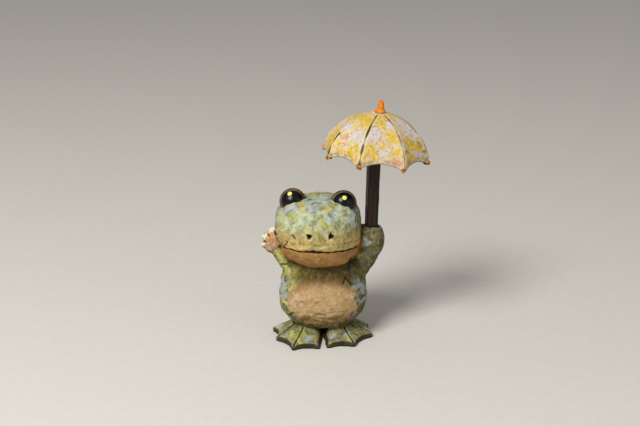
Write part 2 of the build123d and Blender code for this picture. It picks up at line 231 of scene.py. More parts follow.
# %% Smooth the broad forms
EYES = {"right": np.array((-14.0, -5.2, 67.9)), "left": np.array((9.4, -5.2, 66.9))}
NOSTRILS = (np.array((-6.35, -20.5, 55.9)), np.array((3.55, -20.5, 55.9)))
PALM = np.array((-23.7, -2.0, 47.2))
FIST_TOP = np.array((22.7, 2.0, 53.6))
EYE_RADIUS = 6.2


def distance(points, place):
    """How far each point is from a place."""
    return np.linalg.norm(points - place, axis=1)


def smooth_where(piece, weight, rounds):
    """Runs the Smooth modifier with a weight for each point."""
    group = piece.vertex_groups.new(name="smooth_here")
    for step in range(1, 11):
        chosen = np.nonzero(np.round(weight * 10) == step)[0]
        group.add(chosen.tolist(), step / 10, "REPLACE")
    apply_modifier(piece, "SMOOTH", factor=0.5, iterations=rounds, vertex_group="smooth_here")
    piece.vertex_groups.clear()


points = points_of(frog)
creased = np.abs(rise_of(frog, 40))
broad = (1 - ease(creased, 0.22, 0.45)) * ease(points[:, 2], 7.0, 10.0)
broad *= ease(distance(points, PALM), 6.5, 9.0)
broad *= ease(distance(points, FIST_TOP), 5.5, 8.0)
for nostril in NOSTRILS:
    broad *= ease(distance(points, nostril), 2.4, 3.6)
smooth_where(frog, broad, 40)
smooth_where(frog, np.full(len(points), 0.6), 2)
print("smoothed share of the points:", round(float(broad.mean()), 2))

# %% [markdown]
# A thin line needs more points than a broad form. The faces along the mouth, round the
# nostrils, on the waving hand and over the feet are split in four. Splitting only these keeps
# the whole frog light.

# %% Split the faces where fine work goes
def mouth_height(points):
    """How high the line of the mouth runs: level, with a hand's waver and a nick."""
    across = points[:, 0] - FACE_MIDDLE[0]
    line = MOUTH_MIDDLE[2] + math.tan(MOUTH_TILT) * points[:, 1]
    line += 0.12 * np.sin(0.9 * across + 0.6) + 0.05 * np.sin(2.7 * across)
    return line + 0.4 * np.exp(-(((across + 2.9) / 1.3) ** 2))


def split_faces(piece, wanted):
    """Subdivides the faces whose points are all wanted."""
    mesh = piece.data
    corner = np.empty(len(mesh.loops), np.int32)
    mesh.loops.foreach_get("vertex_index", corner)
    start = np.empty(len(mesh.polygons), np.int32)
    mesh.polygons.foreach_get("loop_start", start)
    chosen = np.logical_and.reduceat(wanted[corner], start)
    lone_active(piece)
    bpy.ops.object.mode_set(mode="EDIT")
    bpy.ops.mesh.select_mode(type="FACE")
    bpy.ops.mesh.select_all(action="DESELECT")
    bpy.ops.object.mode_set(mode="OBJECT")
    mesh.polygons.foreach_set("select", chosen)
    bpy.ops.object.mode_set(mode="EDIT")
    bpy.ops.mesh.subdivide(number_cuts=1)
    bpy.ops.object.mode_set(mode="OBJECT")


points = points_of(frog)
fine = (np.abs(points[:, 2] - mouth_height(points)) < 1.5) & (points[:, 1] < -2)
fine &= np.hypot(points[:, 0] - FACE_MIDDLE[0], points[:, 1]) > 13
for nostril in NOSTRILS:
    fine |= distance(points, nostril) < 3.2
fine |= distance(points, PALM) < 8.5
fine |= (points[:, 2] < 8) & (points[:, 2] > 1.8) & (points[:, 1] < -4)
for place in EYES.values():
    off_ball = distance(points, place)
    fine |= (off_ball > EYE_RADIUS - 0.4) & (off_ball < EYE_RADIUS + 1.2) & (points[:, 1] < -4)
split_faces(frog, fine)
print("frog with fine places:", len(frog.data.polygons), "faces")

# %% [markdown]
# Chisel marks are what makes a carving look carved. Each mark is a small flat: a plane is
# laid across the top of the surface, and the points above it are pushed down onto it. The spots
# are drawn at random from the surface, with a fixed seed, so that the frog is the same each
# time. The flats overlap, and where two meet they leave the low ridges that catch the light.

# %% Cut the chisel marks
def scattered(points, gap, seed):
    """One point at random from each little cube of space, in a random order."""
    draw = np.random.default_rng(seed)
    order = draw.permutation(len(points))
    cubes = np.floor(points[order] / gap).astype(int)
    first = np.unique(cubes, axis=0, return_index=True)[1]
    return draw.permutation(order[first])


def chisel(piece, spots, reach, share, deepest, tilt, seed):
    """Takes the top off the surface round each spot, down to a plane.

    The plane is set so that the given share of the patch within reach stands above it.
    """
    points, facing = points_of(piece), facing_of(piece)
    tree = kdtree.KDTree(len(points))
    for index, point in enumerate(points):
        tree.insert(point, index)
    tree.balance()
    draw = np.random.default_rng(seed)
    for spot in spots:
        near = np.array([index for _, index, _ in tree.find_range(points[spot], reach)])
        near = near[facing[near] @ facing[spot] > 0.3]
        normal = facing[near].mean(axis=0) + draw.normal(0, tilt, 3)
        normal /= np.linalg.norm(normal)
        away = points[near] - points[spot]
        height = away @ normal
        level = np.quantile(height, 1 - share * draw.uniform(0.6, 1.3))
        level = max(level, height.max() - deepest)
        fade = 1 - ease(np.linalg.norm(away, axis=1), 0.75 * reach, reach)
        points[near] -= np.outer(np.maximum(height - level, 0) * fade, normal)
    put_points(piece, points)


points = points_of(frog)
feet = points[:, 2] < 9
quiet = distance(points, PALM) < 7.5
for place in EYES.values():
    quiet |= distance(points, place) < EYE_RADIUS + 0.5
for nostril in NOSTRILS:
    quiet |= distance(points, nostril) < 2.5
quiet |= (np.abs(points[:, 2] - mouth_height(points)) < 0.8) & (points[:, 1] < -5)
spots = scattered(points, gap=3.5, seed=11)
broad_spots = [spot for spot in spots if not quiet[spot] and not feet[spot]]
chisel(frog, broad_spots, reach=3.9, share=0.6, deepest=0.5, tilt=0.1, seed=12)
spots = scattered(points, gap=2.4, seed=13)
foot_spots = [spot for spot in spots if feet[spot] and points[spot, 2] > 2.6]
chisel(frog, foot_spots, reach=1.8, share=0.4, deepest=0.15, tilt=0.04, seed=14)
print("chisel marks:", len(broad_spots) + len(foot_spots))

# %% [markdown]
# The belly was worked with a round gouge, in wavy rows from side to side, and the rows are
# deeper towards the bottom. How far a point is through its row comes from its height as seen
# from the front, and a few sines make the rows waver. Between two rows a ridge stays standing.

# %% Gouge the belly
BELLY_MIDDLE = (1.4, -41.2)
BELLY_SIZE = (17.2, 12.2)
ROW_HEIGHT = 2.1


def belly_reach(points):
    """0 at the middle of the belly's pale patch and 1 at its outline, as seen from the front."""
    seen = (from_front(points) - BELLY_MIDDLE) / BELLY_SIZE
    return np.where(points[:, 1] < -3, np.hypot(seen[:, 0], seen[:, 1]), 9.0)


points, facing = points_of(frog), facing_of(frog)
across, up = from_front(points).T
row = up / ROW_HEIGHT + 0.35 * np.sin(0.35 * across + 1.3 * np.sin(0.5 * up))
row += 0.18 * np.sin(1.1 * across + 2.0 * up)
through = row - np.floor(row)
scoop = 0.07 + 0.12 * ease(-up, 38, 48)
scoop *= (1 - (2 * through - 1) ** 2) * (1 - ease(belly_reach(points), 0.8, 1.05))
put_points(frog, points - facing * scoop[:, None])
print("deepest gouge:", round(float(scoop.max()), 2), "mm")

# %% [markdown]
# Now the lines. The mouth is a V cut all round the front of the head, and it can be found
# from its height alone. The nicks are short strokes of a knife, given here as lines seen from
# the front. Every cut also leaves a number in a guide called dark, so that the paint can run
# a dark wash into it. The nostrils are pits whose outlines have uneven corners.

# %% Cut the mouth, the nostrils and the nicks
NICKS = (
    ((10.8, -33.1), (12.1, -30.1), 0.4),
    ((12.1, -30.1), (14.8, -33.6), 0.4),
    ((-2.2, -28.2), (-1.6, -30.1), 0.2),
    ((-15.2, -48.2), (-12.7, -46.9), 0.25),
    ((-17.9, -24.2), (-15.4, -23.9), 0.25),
    ((20.3, -38.5), (19.2, -40.7), 0.25),
    ((17.3, -36.3), (18.7, -35.5), 0.2),
    ((14.3, -21.2), (13.2, -27.1), 0.2),
    ((-12.7, -10.5), (-11.7, -12.0), 0.25),
    ((-17.2, -16.2), (-15.2, -13.5), 0.25),
    ((16.7, -2.3), (16.7, -4.3), 0.2),
    ((-24.5, -9.5), (-23.8, -10.7), 0.5),
    ((-21.3, -8.8), (-20.7, -10.1), 0.45),
    ((-26.6, -13.0), (-25.5, -13.7), 0.4),
    ((-27.0, -16.2), (-25.9, -17.2), 0.4),
    ((-26.0, -17.4), (-23.8, -19.0), 0.1),
    ((-23.8, -19.0), (-20.2, -23.2), 0.1),
    ((-20.2, -23.2), (-17.0, -27.0), 0.15),
    ((-19.0, -23.9), (-17.0, -23.6), 0.1),
)
TOE_GROOVES = (
    ((-4.3, 5.0), (-14.0, -21.7)),
    ((-4.3, 5.0), (-21.7, -10.4)),
    ((4.3, 5.0), (14.6, -17.6)),
    ((4.3, 5.0), (23.3, -6.0)),
)
NOSTRIL_CORNERS = (0.4, 2.1)
MOUTH_DEPTH, NOSTRIL_DEPTH, GROOVE_DEPTH = 0.9, 0.7, 0.45


def to_stroke(flat, start, end):
    """How far each point of a flat picture is from a straight stroke."""
    start, end = np.array(start), np.array(end)
    run = end - start
    share = np.clip((flat - start) @ run / (run @ run), 0, 1)
    return np.linalg.norm(flat - start - np.outer(share, run), axis=1)


points, facing = points_of(frog), facing_of(frog)
dark = np.zeros(len(points))
outward = (points - FACE_MIDDLE) * (1, 1, 0)
outward /= np.linalg.norm(outward, axis=1)[:, None]
on_face = (points[:, 1] < -3) & (np.abs(points[:, 2] - 48) < 6)
on_face &= np.hypot(points[:, 0] - FACE_MIDDLE[0], points[:, 1]) > 13
on_face &= distance(points, PALM) > 6.0
off_line = np.abs(points[:, 2] - mouth_height(points))
across = points[:, 0] - FACE_MIDDLE[0]
width = 0.5 + 0.6 * np.exp(-(((across + 2.6) / 3.2) ** 2)) + 0.12 * np.sin(1.9 * across + 1.0)
cut = notch(off_line, width) * on_face * ease(-points[:, 1], 3.5, 6.0)
points -= outward * (MOUTH_DEPTH * cut)[:, None]
dark = np.maximum(dark, ease(cut, 0.1, 0.55))

# A painted highlight: a pale spot on the low rim of each nostril, where light falls.
nostril_highlight = np.zeros(len(points))
for nostril, corners in zip(NOSTRILS, NOSTRIL_CORNERS):
    across, up = (points - nostril)[:, (0, 2)].T
    angle = np.arctan2(up, across)
    reach = 1.2 + 0.22 * np.sin(3 * angle + corners) + 0.12 * np.sin(5 * angle + 3 * corners)
    pit = 1 - ease(np.hypot(across, up) / reach, 0.85, 1.15)
    pit = np.where(distance(points, nostril) < 4, pit, 0)
    points[:, 1] += NOSTRIL_DEPTH * pit
    dark = np.maximum(dark, pit)
    nostril_highlight += np.exp(-((np.hypot(across - 0.6, up + 1.5) / 0.55) ** 2)) * (points[:, 1] < -15)

front = facing[:, 1] < -0.1
seen = from_front(points)
for start, end, depth in NICKS:
    cut = notch(to_stroke(seen, start, end), 0.35 + depth) * front
    points -= facing * (depth * cut)[:, None]
    dark = np.maximum(dark, 0.85 * ease(cut, 0.1, 0.8))
foot_top = (points[:, 2] < 10) & (points[:, 2] > 1.5) & (facing[:, 2] > 0.3)
for start, end in TOE_GROOVES:
    cut = notch(to_stroke(points[:, :2], start, end), 0.7) * foot_top
    points[:, 2] -= GROOVE_DEPTH * cut
    dark = np.maximum(dark, ease(cut, 0.2, 0.8))
put_points(frog, points)
print("points in dark cuts:", int((dark > 0.5).sum()))

# %% [markdown]
# A painter of carvings rubs a dark wash over the work, which stays in the hollows, and then
# drags pale paint over the edges. Both follow the shape, so the frog is measured again now
# that it is carved, over a few rounds for the fine marks.

# %% Mark where the wash stays, where the edges rub and where painted shade darkens the creases
rise = mark_relief(frog, 0.16, 0.14, rounds=14)
# The wide creases, found over many rounds: round the neck, where the arms and feet meet the body and
# between the feet. Painted shade goes there.
paint_guide(frog, "deep", ease(-rise_of(frog, 160), 0.12, 0.75))
print("from the deepest hollow to the highest edge:", round(float(np.ptp(rise)), 2), "mm")

# %% [markdown]
# The colours of the frog follow its parts: a tan belly, jaw and palm, an ochre snout, a pale
# crown, and green and blue over the rest. Each part gets a guide, found from its place on the
# frog. The smaller patches are dabs, seen from the front, each with a place and a size in mm.
# The back can't be seen in the picture, so it gets dabs at random spots, from a fixed seed.

# %% Lay out the frog's colours
BLUE_DABS = (
    (-3.7, 3.5, 2.7), (1.5, 6.0, 2.1), (-2.0, 1.2, 1.6), (3.5, -2.8, 1.7), (14.2, -0.5, 2.2),
    (14.7, -4.3, 1.9), (17.5, 1.5, 1.4), (-13.0, 2.2, 2.2), (-15.5, 1.7, 1.6), (-20.0, -9.8, 2.0),
    (-20.2, -3.3, 1.1), (7.5, 1.0, 1.3), (-5.5, 7.7, 1.3), (-17.9, -33.1, 1.8), (13.0, -26.1, 2.2),
    (17.3, -33.6, 2.4), (20.3, -35.8, 1.6), (8.1, -26.1, 1.1), (19.4, -40.1, 1.5),
    (15.4, -48.2, 1.6), (-16.8, -39.0, 1.8), (22.0, -13.6, 1.9), (-5.1, -59.4, 1.6),
    (6.1, -58.2, 1.2), (11.8, -57.0, 1.1), (-19.6, -52.8, 1.2), (-25.2, -15.4, 1.4),
)
MINT_DABS = (
    (-1.0, 8.7, 4.0), (-11.0, -3.3, 4.7), (-6.0, -3.3, 3.2), (8.5, -2.3, 2.3), (5.5, 7.2, 1.7),
    (-15.0, -4.8, 2.0), (-17.6, -36.3, 1.6), (-14.3, -25.5, 1.3), (-19.6, -53.4, 1.6),
    (-15.3, -57.6, 1.2), (2.7, -56.4, 1.4),
)
YELLOW_DABS = (
    (-8.0, 3.7, 1.7), (3.2, 1.5, 2.0), (-9.2, 1.0, 1.3), (-17.5, -2.8, 1.3), (12.5, -2.0, 1.1),
    (-6.0, -8.3, 2.0), (-12.5, -8.5, 1.3), (1.0, -5.5, 1.6), (-1.0, -8.0, 1.1), (-17.0, -9.3, 1.3),
    (4.5, -8.0, 1.5), (-11.1, -33.1, 1.9), (-13.3, -35.8, 1.5), (-15.4, -26.1, 1.6),
    (-16.0, -41.7, 1.2), (-8.4, -31.2, 1.2), (-4.6, -28.2, 1.1), (13.0, -58.2, 1.1),
    (-9.9, -60.0, 1.4), (-12.9, -56.4, 1.2), (-19.6, -20.2, 1.3), (-17.4, -23.2, 1.3),
)
LEAF_DABS = (
    (3.0, -5.8, 1.4), (9.5, -9.3, 1.6), (-1.5, -10.3, 1.4), (-7.5, -16.2, 2.3), (5.5, -16.2, 2.3),
    (-12.5, -15.3, 1.8), (6.0, 2.7, 1.3), (-14.0, -1.3, 1.8), (-18.5, -5.8, 1.5),
    (-15.4, -23.9, 2.5), (-11.6, -27.7, 2.8), (-17.6, -28.2, 1.5), (-4.6, -27.7, 1.8),
    (-19.2, -41.7, 1.4), (-17.6, -46.1, 1.6), (-19.2, -22.3, 2.2), (-12.3, -58.2, 2.4),
    (-0.9, -57.6, 2.1), (-8.1, -56.4, 1.8), (18.2, -19.7, 1.1), (-23.8, -21.8, 1.8),
    (-20.2, -25.4, 1.8), (-20.0, -18.5, 2.2), (-18.0, -21.5, 2.4), (-16.8, -25.0, 2.4),
)
# Olive patches. Those at the right of the head as seen from the front, from about 7 mm across, also
# stand for painted shade on the frog's shaded left side.
OLIVE_DABS = (
    (9.5, -4.8, 1.8), (14.5, -8.8, 3.8), (7.5, -11.3, 2.8), (0.0, -11.8, 2.3), (-10.0, -12.3, 2.7),
    (12.5, -13.3, 2.8), (-2.5, -15.3, 4.5), (8.5, -15.3, 3.2), (12.0, -5.8, 1.5),
    (-8.4, -29.3, 1.3), (18.6, -28.2, 1.4), (-17.1, -49.3, 1.9), (-8.9, -50.9, 1.6),
    (12.1, -52.6, 2.5), (-19.2, -38.0, 1.1), (17.2, -54.6, 1.6),
)
ORANGE_DABS = (
    (-16.7, -14.5, 1.5), (-15.2, -15.8, 1.1), (4.5, -18.2, 1.3), (2.0, -18.1, 0.9),
    (17.5, -13.3, 1.5), (18.2, -14.8, 1.1), (-2.5, -16.2, 0.9), (15.5, -15.5, 0.8),
    (-23.0, -10.4, 1.4), (-21.8, -11.8, 0.8),
)
PALE_DABS = (
    (-11.0, -39.5, 2.0), (-12.8, -42.5, 1.5), (-8.6, -43.4, 1.4), (-12.2, -37.0, 1.1),
    (15.6, -38.6, 1.7), (17.2, -36.9, 1.2), (3.6, -46.0, 1.2),
)
FINGER_DABS = ((-22.5, -7.8, 2.0), (-25.9, -10.9, 1.7), (-26.8, -15.2, 1.2))
PALM_SEEN = (-23.2, -13.7)


def dabs(piece, places, seed):
    """A guide that is strong at each dab on the front and at random spots on the back.

    The view is warped a little by sines first, so that no dab comes out round.
    """
    points = points_of(piece)
    across, up = from_front(points).T
    warped_across = across + 0.7 * np.sin(1.2 * up + 0.4 * across) + 0.3 * np.sin(2.9 * up)
    warped_up = up + 0.6 * np.sin(1.1 * across - 0.6 * up) + 0.3 * np.sin(2.6 * across)
    guide = np.zeros(len(points))
    for dab_across, dab_up, size in places:
        off = np.hypot(warped_across - dab_across, warped_up - dab_up)
        guide = np.maximum(guide, np.exp(-((off / size) ** 2)))
    guide *= ease(-points[:, 1], -7, 1)
    if seed:
        draw = np.random.default_rng(seed)
        behind = [spot for spot in scattered(points, gap=9.0, seed=seed) if points[spot, 1] > 1]
        for spot in behind[: len(behind) // 3]:
            off = distance(points, points[spot]) / draw.uniform(1.8, 4.2)
            guide = np.maximum(guide, np.exp(-(off**2)) * ease(points[:, 1], -4, 4))
    return guide


points, facing = points_of(frog), facing_of(frog)
across, up = from_front(points).T
above_mouth = points[:, 2] - mouth_height(points)
reach = belly_reach(points)
paint_guide(frog, "belly", 1 - ease(reach + 0.05 * np.sin(0.9 * across + 0.5 * up), 0.8, 1.12))
# Painted shade on the belly's outline: strong at its top, under the head, and weaker near the feet.
top_and_foot = np.maximum(ease(up, -41, -34), 0.3 * ease(-up, 47, 52))
paint_guide(frog, "belly_shade", ease(reach, 0.5, 1.0) * top_and_foot)
# The head is paler towards its top: pale paint, and painted light from above.
paint_guide(frog, "crown", ease(points[:, 2], 49, 58))
chin = np.abs((points - MOUTH_MIDDLE) / (18.0, 20.2, 8.8)) ** 2.4
chin = (1 - ease(chin.sum(axis=1), 1.1, 1.3)) * (above_mouth < 0)
chin *= ease(-points[:, 1], -2, 3) * (distance(points, PALM) > 6.0)
paint_guide(frog, "jaw", chin)
hand = from_front(points) - PALM_SEEN
palm = np.hypot(hand[:, 0] / 4.0, hand[:, 1] / 5.2)
palm = (1 - ease(palm, 0.8, 1.15)) * ease(-facing[:, 1], 0.0, 0.4) * (distance(points, PALM) < 7.5)
paint_guide(frog, "palm", palm)
# The throat, under the jaw, gets a dark wash and painted shade.
throat = ease(-up, 20.0, 23.0) * (1 - ease(-up, 29.5, 37.0)) * (1 - ease(np.abs(across - 2.5), 10, 19))
paint_guide(frog, "throat", throat * (points[:, 1] < -2) * (1 - chin))
for name, places, seed in (
    ("blue", BLUE_DABS, 61),
    ("mint", MINT_DABS, 62),
    ("yellow", YELLOW_DABS, 63),
    ("leaf", LEAF_DABS, 64),
    ("olive", OLIVE_DABS, 65),
    ("orange", ORANGE_DABS, None),
    ("pale", PALE_DABS, None),
    ("finger_tips", FINGER_DABS, None),
):
    paint_guide(frog, name, dabs(frog, places, seed))
paint_guide(frog, "dark", dark)
paint_guide(frog, "nostril_highlight", nostril_highlight)
on_snout = (above_mouth > 0) & (np.hypot(points[:, 0] - FACE_MIDDLE[0], points[:, 1]) > 12)
on_snout &= distance(points, PALM) > 6.5
snout = np.where(on_snout, 1 - ease(points[:, 2], 51.5, 59), 0) * ease(-points[:, 1], 3, 9)
paint_guide(frog, "snout", snout)
lip = np.exp(-(((above_mouth - 1.3 - 0.3 * np.sin(1.3 * across)) / 0.9) ** 2))
paint_guide(frog, "lip", lip * (snout > 0) * ease(-points[:, 0], -16, 2))
band = np.exp(-(((above_mouth - 3.7 - 0.4 * np.sin(0.6 * across)) / 0.7) ** 2))
paint_guide(frog, "snout_band", band * (snout > 0))
low = 1 - ease(points[:, 2], 2.4, 3.2)
paint_guide(frog, "foot_wall", low * (1 - ease(facing[:, 2], 0.6, 0.88)))
paint_guide(frog, "foot_sole", 1 - ease(points[:, 2], 0.4, 0.9))
# Painted shade on the frog's own left side, away from the key lamp, where the paint is also darker.
shaded_side = ease(points[:, 0] - 0.25 * (points[:, 2] - 40), 8, 22) * (points[:, 2] > 8)
paint_guide(frog, "shaded_side", shaded_side)
# Painted shade on the surfaces that face down.
paint_guide(frog, "under", ease(-facing[:, 2], 0.0, 0.6) * (points[:, 2] > 4) * (1 - chin))
print("share in tan:", round(float((np.maximum(1 - reach, chin) > 0.5).mean()), 2))

# %% [markdown]
# The eyes are balls with a ring cut round their dark fronts. They could be painted on the
# frog's own mesh, but a glossy disc needs a clean round edge, so each is a UV sphere whose
# pole faces forwards: its rings of faces run round the disc, and two rings pushed in are the
# cut. The frog's own balls shrink a little, so that only these show.

# %% Make the eyeballs
EYE_LIFT = math.radians(16)
EYE_TURN = math.radians(2)
DISC_ANGLE = 57.0
RING_STEPS = 96
RING_DEPTH = 0.3
SOCKET_DEPTH = 0.9


def eye_place(side):
    """Turns a ball that faces up into one that faces forwards, in its socket."""
    turn = EYE_TURN if side == "left" else -EYE_TURN
    facing = Matrix.Rotation(turn, 4, "Z") @ Matrix.Rotation(math.pi / 2 - EYE_LIFT, 4, "X")
    return Matrix.Translation(EYES[side] * MM) @ facing


def push_ring(angle, amount):
    """In edit mode, moves one ring of the ball's points along their normals."""
    ball = bpy.context.object
    bpy.ops.mesh.select_all(action="DESELECT")
    bpy.ops.object.mode_set(mode="OBJECT")
    half_step = math.radians(90 / RING_STEPS)
    for point in ball.data.vertices:
        off = point.co.angle(Vector((0, 0, 1)))
        point.select = abs(off - math.radians(angle)) < half_step
    bpy.ops.object.mode_set(mode="EDIT")
    bpy.ops.transform.shrink_fatten(value=amount * MM)


eyeballs = []
for side in EYES:
    ball = add_shape(
        bpy.ops.mesh.primitive_uv_sphere_add, "eyeball_" + side,
        segments=72, ring_count=RING_STEPS, radius=EYE_RADIUS * MM,
    )
    bpy.ops.object.mode_set(mode="EDIT")
    bpy.ops.mesh.select_mode(type="VERT")
    for past_disc in (1, 3):
        push_ring(DISC_ANGLE + past_disc, -RING_DEPTH)
    bpy.ops.object.mode_set(mode="OBJECT")
    points = points_of(ball)
    off = np.degrees(np.arccos(np.clip(points[:, 2] / np.linalg.norm(points, axis=1), -1, 1)))
    paint_guide(ball, "disc", 1 - ease(off, DISC_ANGLE - 1.5, DISC_ANGLE + 0.5))
    paint_guide(ball, "pale_ring", np.exp(-(((off - DISC_ANGLE - 4) / 1.4) ** 2)))
    paint_guide(ball, "rim", 1 - ease(off, 76, 88))
    ball.data.transform(eye_place(side))
    bpy.ops.object.shade_smooth()
    eyeballs.append(ball)

points = points_of(frog)
for place in EYES.values():
    away = points - place
    far = np.linalg.norm(away, axis=1)
    near = (1 - ease(far, EYE_RADIUS + 0.1, EYE_RADIUS + 0.9)) * (far > EYE_RADIUS - 2)
    points = place + away * (1 - SOCKET_DEPTH * near / far)[:, None]
put_points(frog, points)
print("eyeballs:", [len(ball.data.polygons) for ball in eyeballs], "faces")

# %% [markdown]
# The glint in each eye is a blob of thick yellow paint. A flattened ball, half sunk in the
# eye, gives it a clean edge and a little height that catches the light.

# %% Set a glint in each eye
GLINT_RADIUS = 1.1
GLINT_FLATNESS = 0.22
GLINT_AT = {"right": (-1.15, 3.6), "left": (0.3, 2.7)}

glints = []
for side, (across, up) in GLINT_AT.items():
    ahead = math.sqrt(EYE_RADIUS**2 - across**2 - up**2)
    seat = Vector((across, up, ahead)) * MM
    glint = add_shape(
        bpy.ops.mesh.primitive_uv_sphere_add, "eye_glint_" + side,
        segments=32, ring_count=16, radius=GLINT_RADIUS * MM,
    )
    flat = Matrix.Diagonal((1, 1, GLINT_FLATNESS, 1))
    tip = seat.to_track_quat("Z", "Y").to_matrix().to_4x4()
    glint.data.transform(eye_place(side) @ Matrix.Translation(seat) @ tip @ flat)
    bpy.ops.object.shade_smooth()
    glints.append(glint)
print("glints:", len(glints))

# %% [markdown]
# The parasol leans, so everything on it is built upright at the middle of the scene, with its
# axis on Z, and then moved by matrices: the canopy on to the stick, where it leans a little
# more, and then the whole parasol into the fist.
# The canopy starts as a bare circle at the rim. It is extruded upwards ring by ring, which
# makes a tube with a tidy grid of faces, and then the tube's points are set on the dome:
# straight from rib to rib, a little hollow between them, and scalloped along the rim. The
# carver set the ribs by eye, so their turns round the axis are uneven.

# %% Raise the canopy's shell
PARASOL = Matrix.Translation(Vector(FIST_TOP * MM)) @ Matrix.Rotation(math.radians(1.5), 4, "Y")
RIM_HEIGHT = 33.7
CANOPY_PLACE = Matrix.Translation(Vector((0.8, 0, RIM_HEIGHT)) * MM)
CANOPY_PLACE = CANOPY_PLACE @ Matrix.Rotation(math.radians(3.5), 4, "Y")
CANOPY_RADIUS = 25.35
CANOPY_RISE = 21.15
CANOPY_WALL = 2.6
CROWN_RADIUS = 3.6
STRAIGHTNESS = 1.12
CROWN_ANGLE = math.acos((CROWN_RADIUS / CANOPY_RADIUS) ** (1 / STRAIGHTNESS))
RIB_TURNS = (-15, 30, 75, 120, 166, 205, 250, 299)
SCALLOPS = (2.8, 2.8, 2.6, 2.4, 1.4, 2.8, 2.8, 2.8)
RIBS = len(RIB_TURNS)
RIB_ANGLES = np.radians((*RIB_TURNS, RIB_TURNS[0] + 360))
COLUMNS, RINGS = 32 * RIBS, 66

canopy = add_shape(
    bpy.ops.mesh.primitive_circle_add, "canopy_carving", vertices=COLUMNS, radius=CANOPY_RADIUS * MM
)
bpy.ops.object.mode_set(mode="EDIT")
for _ in range(RINGS):
    bpy.ops.mesh.extrude_edges_move(TRANSFORM_OT_translate={"value": (0, 0, MM)})
bpy.ops.mesh.edge_face_add()
bpy.ops.mesh.poke()
bpy.ops.object.mode_set(mode="OBJECT")


def dome_points(points):
    """Sets the points of an upright tube, a millimetre a ring, on the ribbed dome."""
    turn = np.arctan2(points[:, 1], points[:, 0]) / (2 * math.pi / RIBS) % RIBS
    rib = np.floor(turn + 1e-4).astype(int) % RIBS
    share = np.clip((turn - rib) % RIBS, 0, 1)
    share[(turn - rib) % RIBS > RIBS - 1] = 0
    rise = np.array(SCALLOPS)[rib] * 4 * share * (1 - share)
    low = np.arcsin(rise / CANOPY_RISE * math.sin(CROWN_ANGLE)) / CROWN_ANGLE
    angle = CROWN_ANGLE * (low + (1 - low) * points[:, 2] / RINGS)
    reach = CANOPY_RADIUS * np.cos(angle) ** STRAIGHTNESS * (1 - 0.12 * share * (1 - share))
    one, other = RIB_ANGLES[rib], RIB_ANGLES[rib + 1]
    across = reach * ((1 - share) * np.cos(one) + share * np.cos(other))
    along = reach * ((1 - share) * np.sin(one) + share * np.sin(other))
    height = CANOPY_RISE * np.sin(angle) / math.sin(CROWN_ANGLE)
    placed = np.column_stack((across, along, height))
    placed[np.hypot(points[:, 0], points[:, 1]) < 1] = (0, 0, CANOPY_RISE)
    return placed


put_points(canopy, dome_points(points_of(canopy)))
apply_modifier(canopy, "SOLIDIFY", thickness=CANOPY_WALL * MM, offset=-1, use_rim=True)
lone_active(canopy)
bpy.ops.object.mode_set(mode="EDIT")
bpy.ops.mesh.select_all(action="SELECT")
bpy.ops.mesh.normals_make_consistent(inside=False)
bpy.ops.object.mode_set(mode="OBJECT")
print("canopy:", len(canopy.data.polygons), "faces,", round(canopy.dimensions.x / MM, 1), "mm wide")

# %% [markdown]
# The canopy gets its own chisel marks, finer than the frog's, and a knife line down each rib.
# Which rib is nearest comes from a point's turn round the axis. The table gives each line the
# heights where it starts and ends and how dark it is, because on the real canopy the lines
# fade and stop.

# %% Carve the canopy
RIB_LINES = (
    (0, 20, 0.6), (0, 20, 0.5), (2, 20, 0.6), (0, 18, 0.5),
    (0, 17, 0.7), (1.5, 13, 1.2), (0.5, 21.5, 1.1), (0.5, 21.5, 0.7),
)


def place_between_ribs(points):
    """The rib before each point, and how far the point is on the way to the next one."""
    turn = np.arctan2(points[:, 1], points[:, 0])
    turn = (turn - RIB_ANGLES[0]) % (2 * math.pi) + RIB_ANGLES[0]
    rib = np.clip(np.searchsorted(RIB_ANGLES, turn, side="right") - 1, 0, RIBS - 1)
    one, other = RIB_ANGLES[rib], RIB_ANGLES[rib + 1]
    lead = np.tan(turn - (one + other) / 2) / np.tan((other - one) / 2)
    return rib, np.clip(0.5 + 0.5 * lead, 0, 1)


points, facing = points_of(canopy), facing_of(canopy)
outside = (facing * points).sum(axis=1) > 0
spots = [spot for spot in scattered(points, gap=3.2, seed=21) if outside[spot]]
chisel(canopy, spots, reach=3.0, share=0.5, deepest=0.2, tilt=0.05, seed=22)

points, facing = points_of(canopy), facing_of(canopy)
rib, share = place_between_ribs(points)
nearest = np.where(share < 0.5, rib, (rib + 1) % RIBS)
off_rib = np.hypot(points[:, 0], points[:, 1])
off_rib *= np.abs(np.sin(np.arctan2(points[:, 1], points[:, 0]) - RIB_ANGLES[nearest]))
low, high, strength = np.array(RIB_LINES)[nearest].T
waver = 0.65 + 0.35 * np.sin(points[:, 2] * 0.9 + 2.1 * nearest)
strength *= ease(points[:, 2], low, low + 1) * (1 - ease(points[:, 2], high - 1, high))
line = notch(off_rib, (0.3 + 0.45 * waver) * (0.5 + 0.8 * strength)) * outside
points -= facing * (0.35 * line * strength)[:, None]
put_points(canopy, points)
paint_guide(canopy, "dark", ease(line, 0.15, 0.7) * strength * np.minimum(1, waver + 0.25))
above_rim = points[:, 2] - np.array(SCALLOPS)[rib] * 4 * share * (1 - share)
paint_guide(canopy, "rim_band", 1 - ease(above_rim, 0.6, 2.6))
paint_guide(canopy, "rim", 1 - ease(above_rim, 0.05, 0.6))
paint_guide(canopy, "inside", np.where(outside, 0, 1))
print("knife lines along", RIBS, "ribs")

# %% [markdown]
# Inside the canopy a turned boss takes the top of the stick. It is a cylinder with twelve
# sides, bevelled, that stands on the line of the stick. It is joined to the shell, because
# the two are one carved piece of wood.

# %% Add the boss
BOSS_RADIUS = 4.4
BOSS_FOOT = 45.25
BOSS_TOP = 53.5

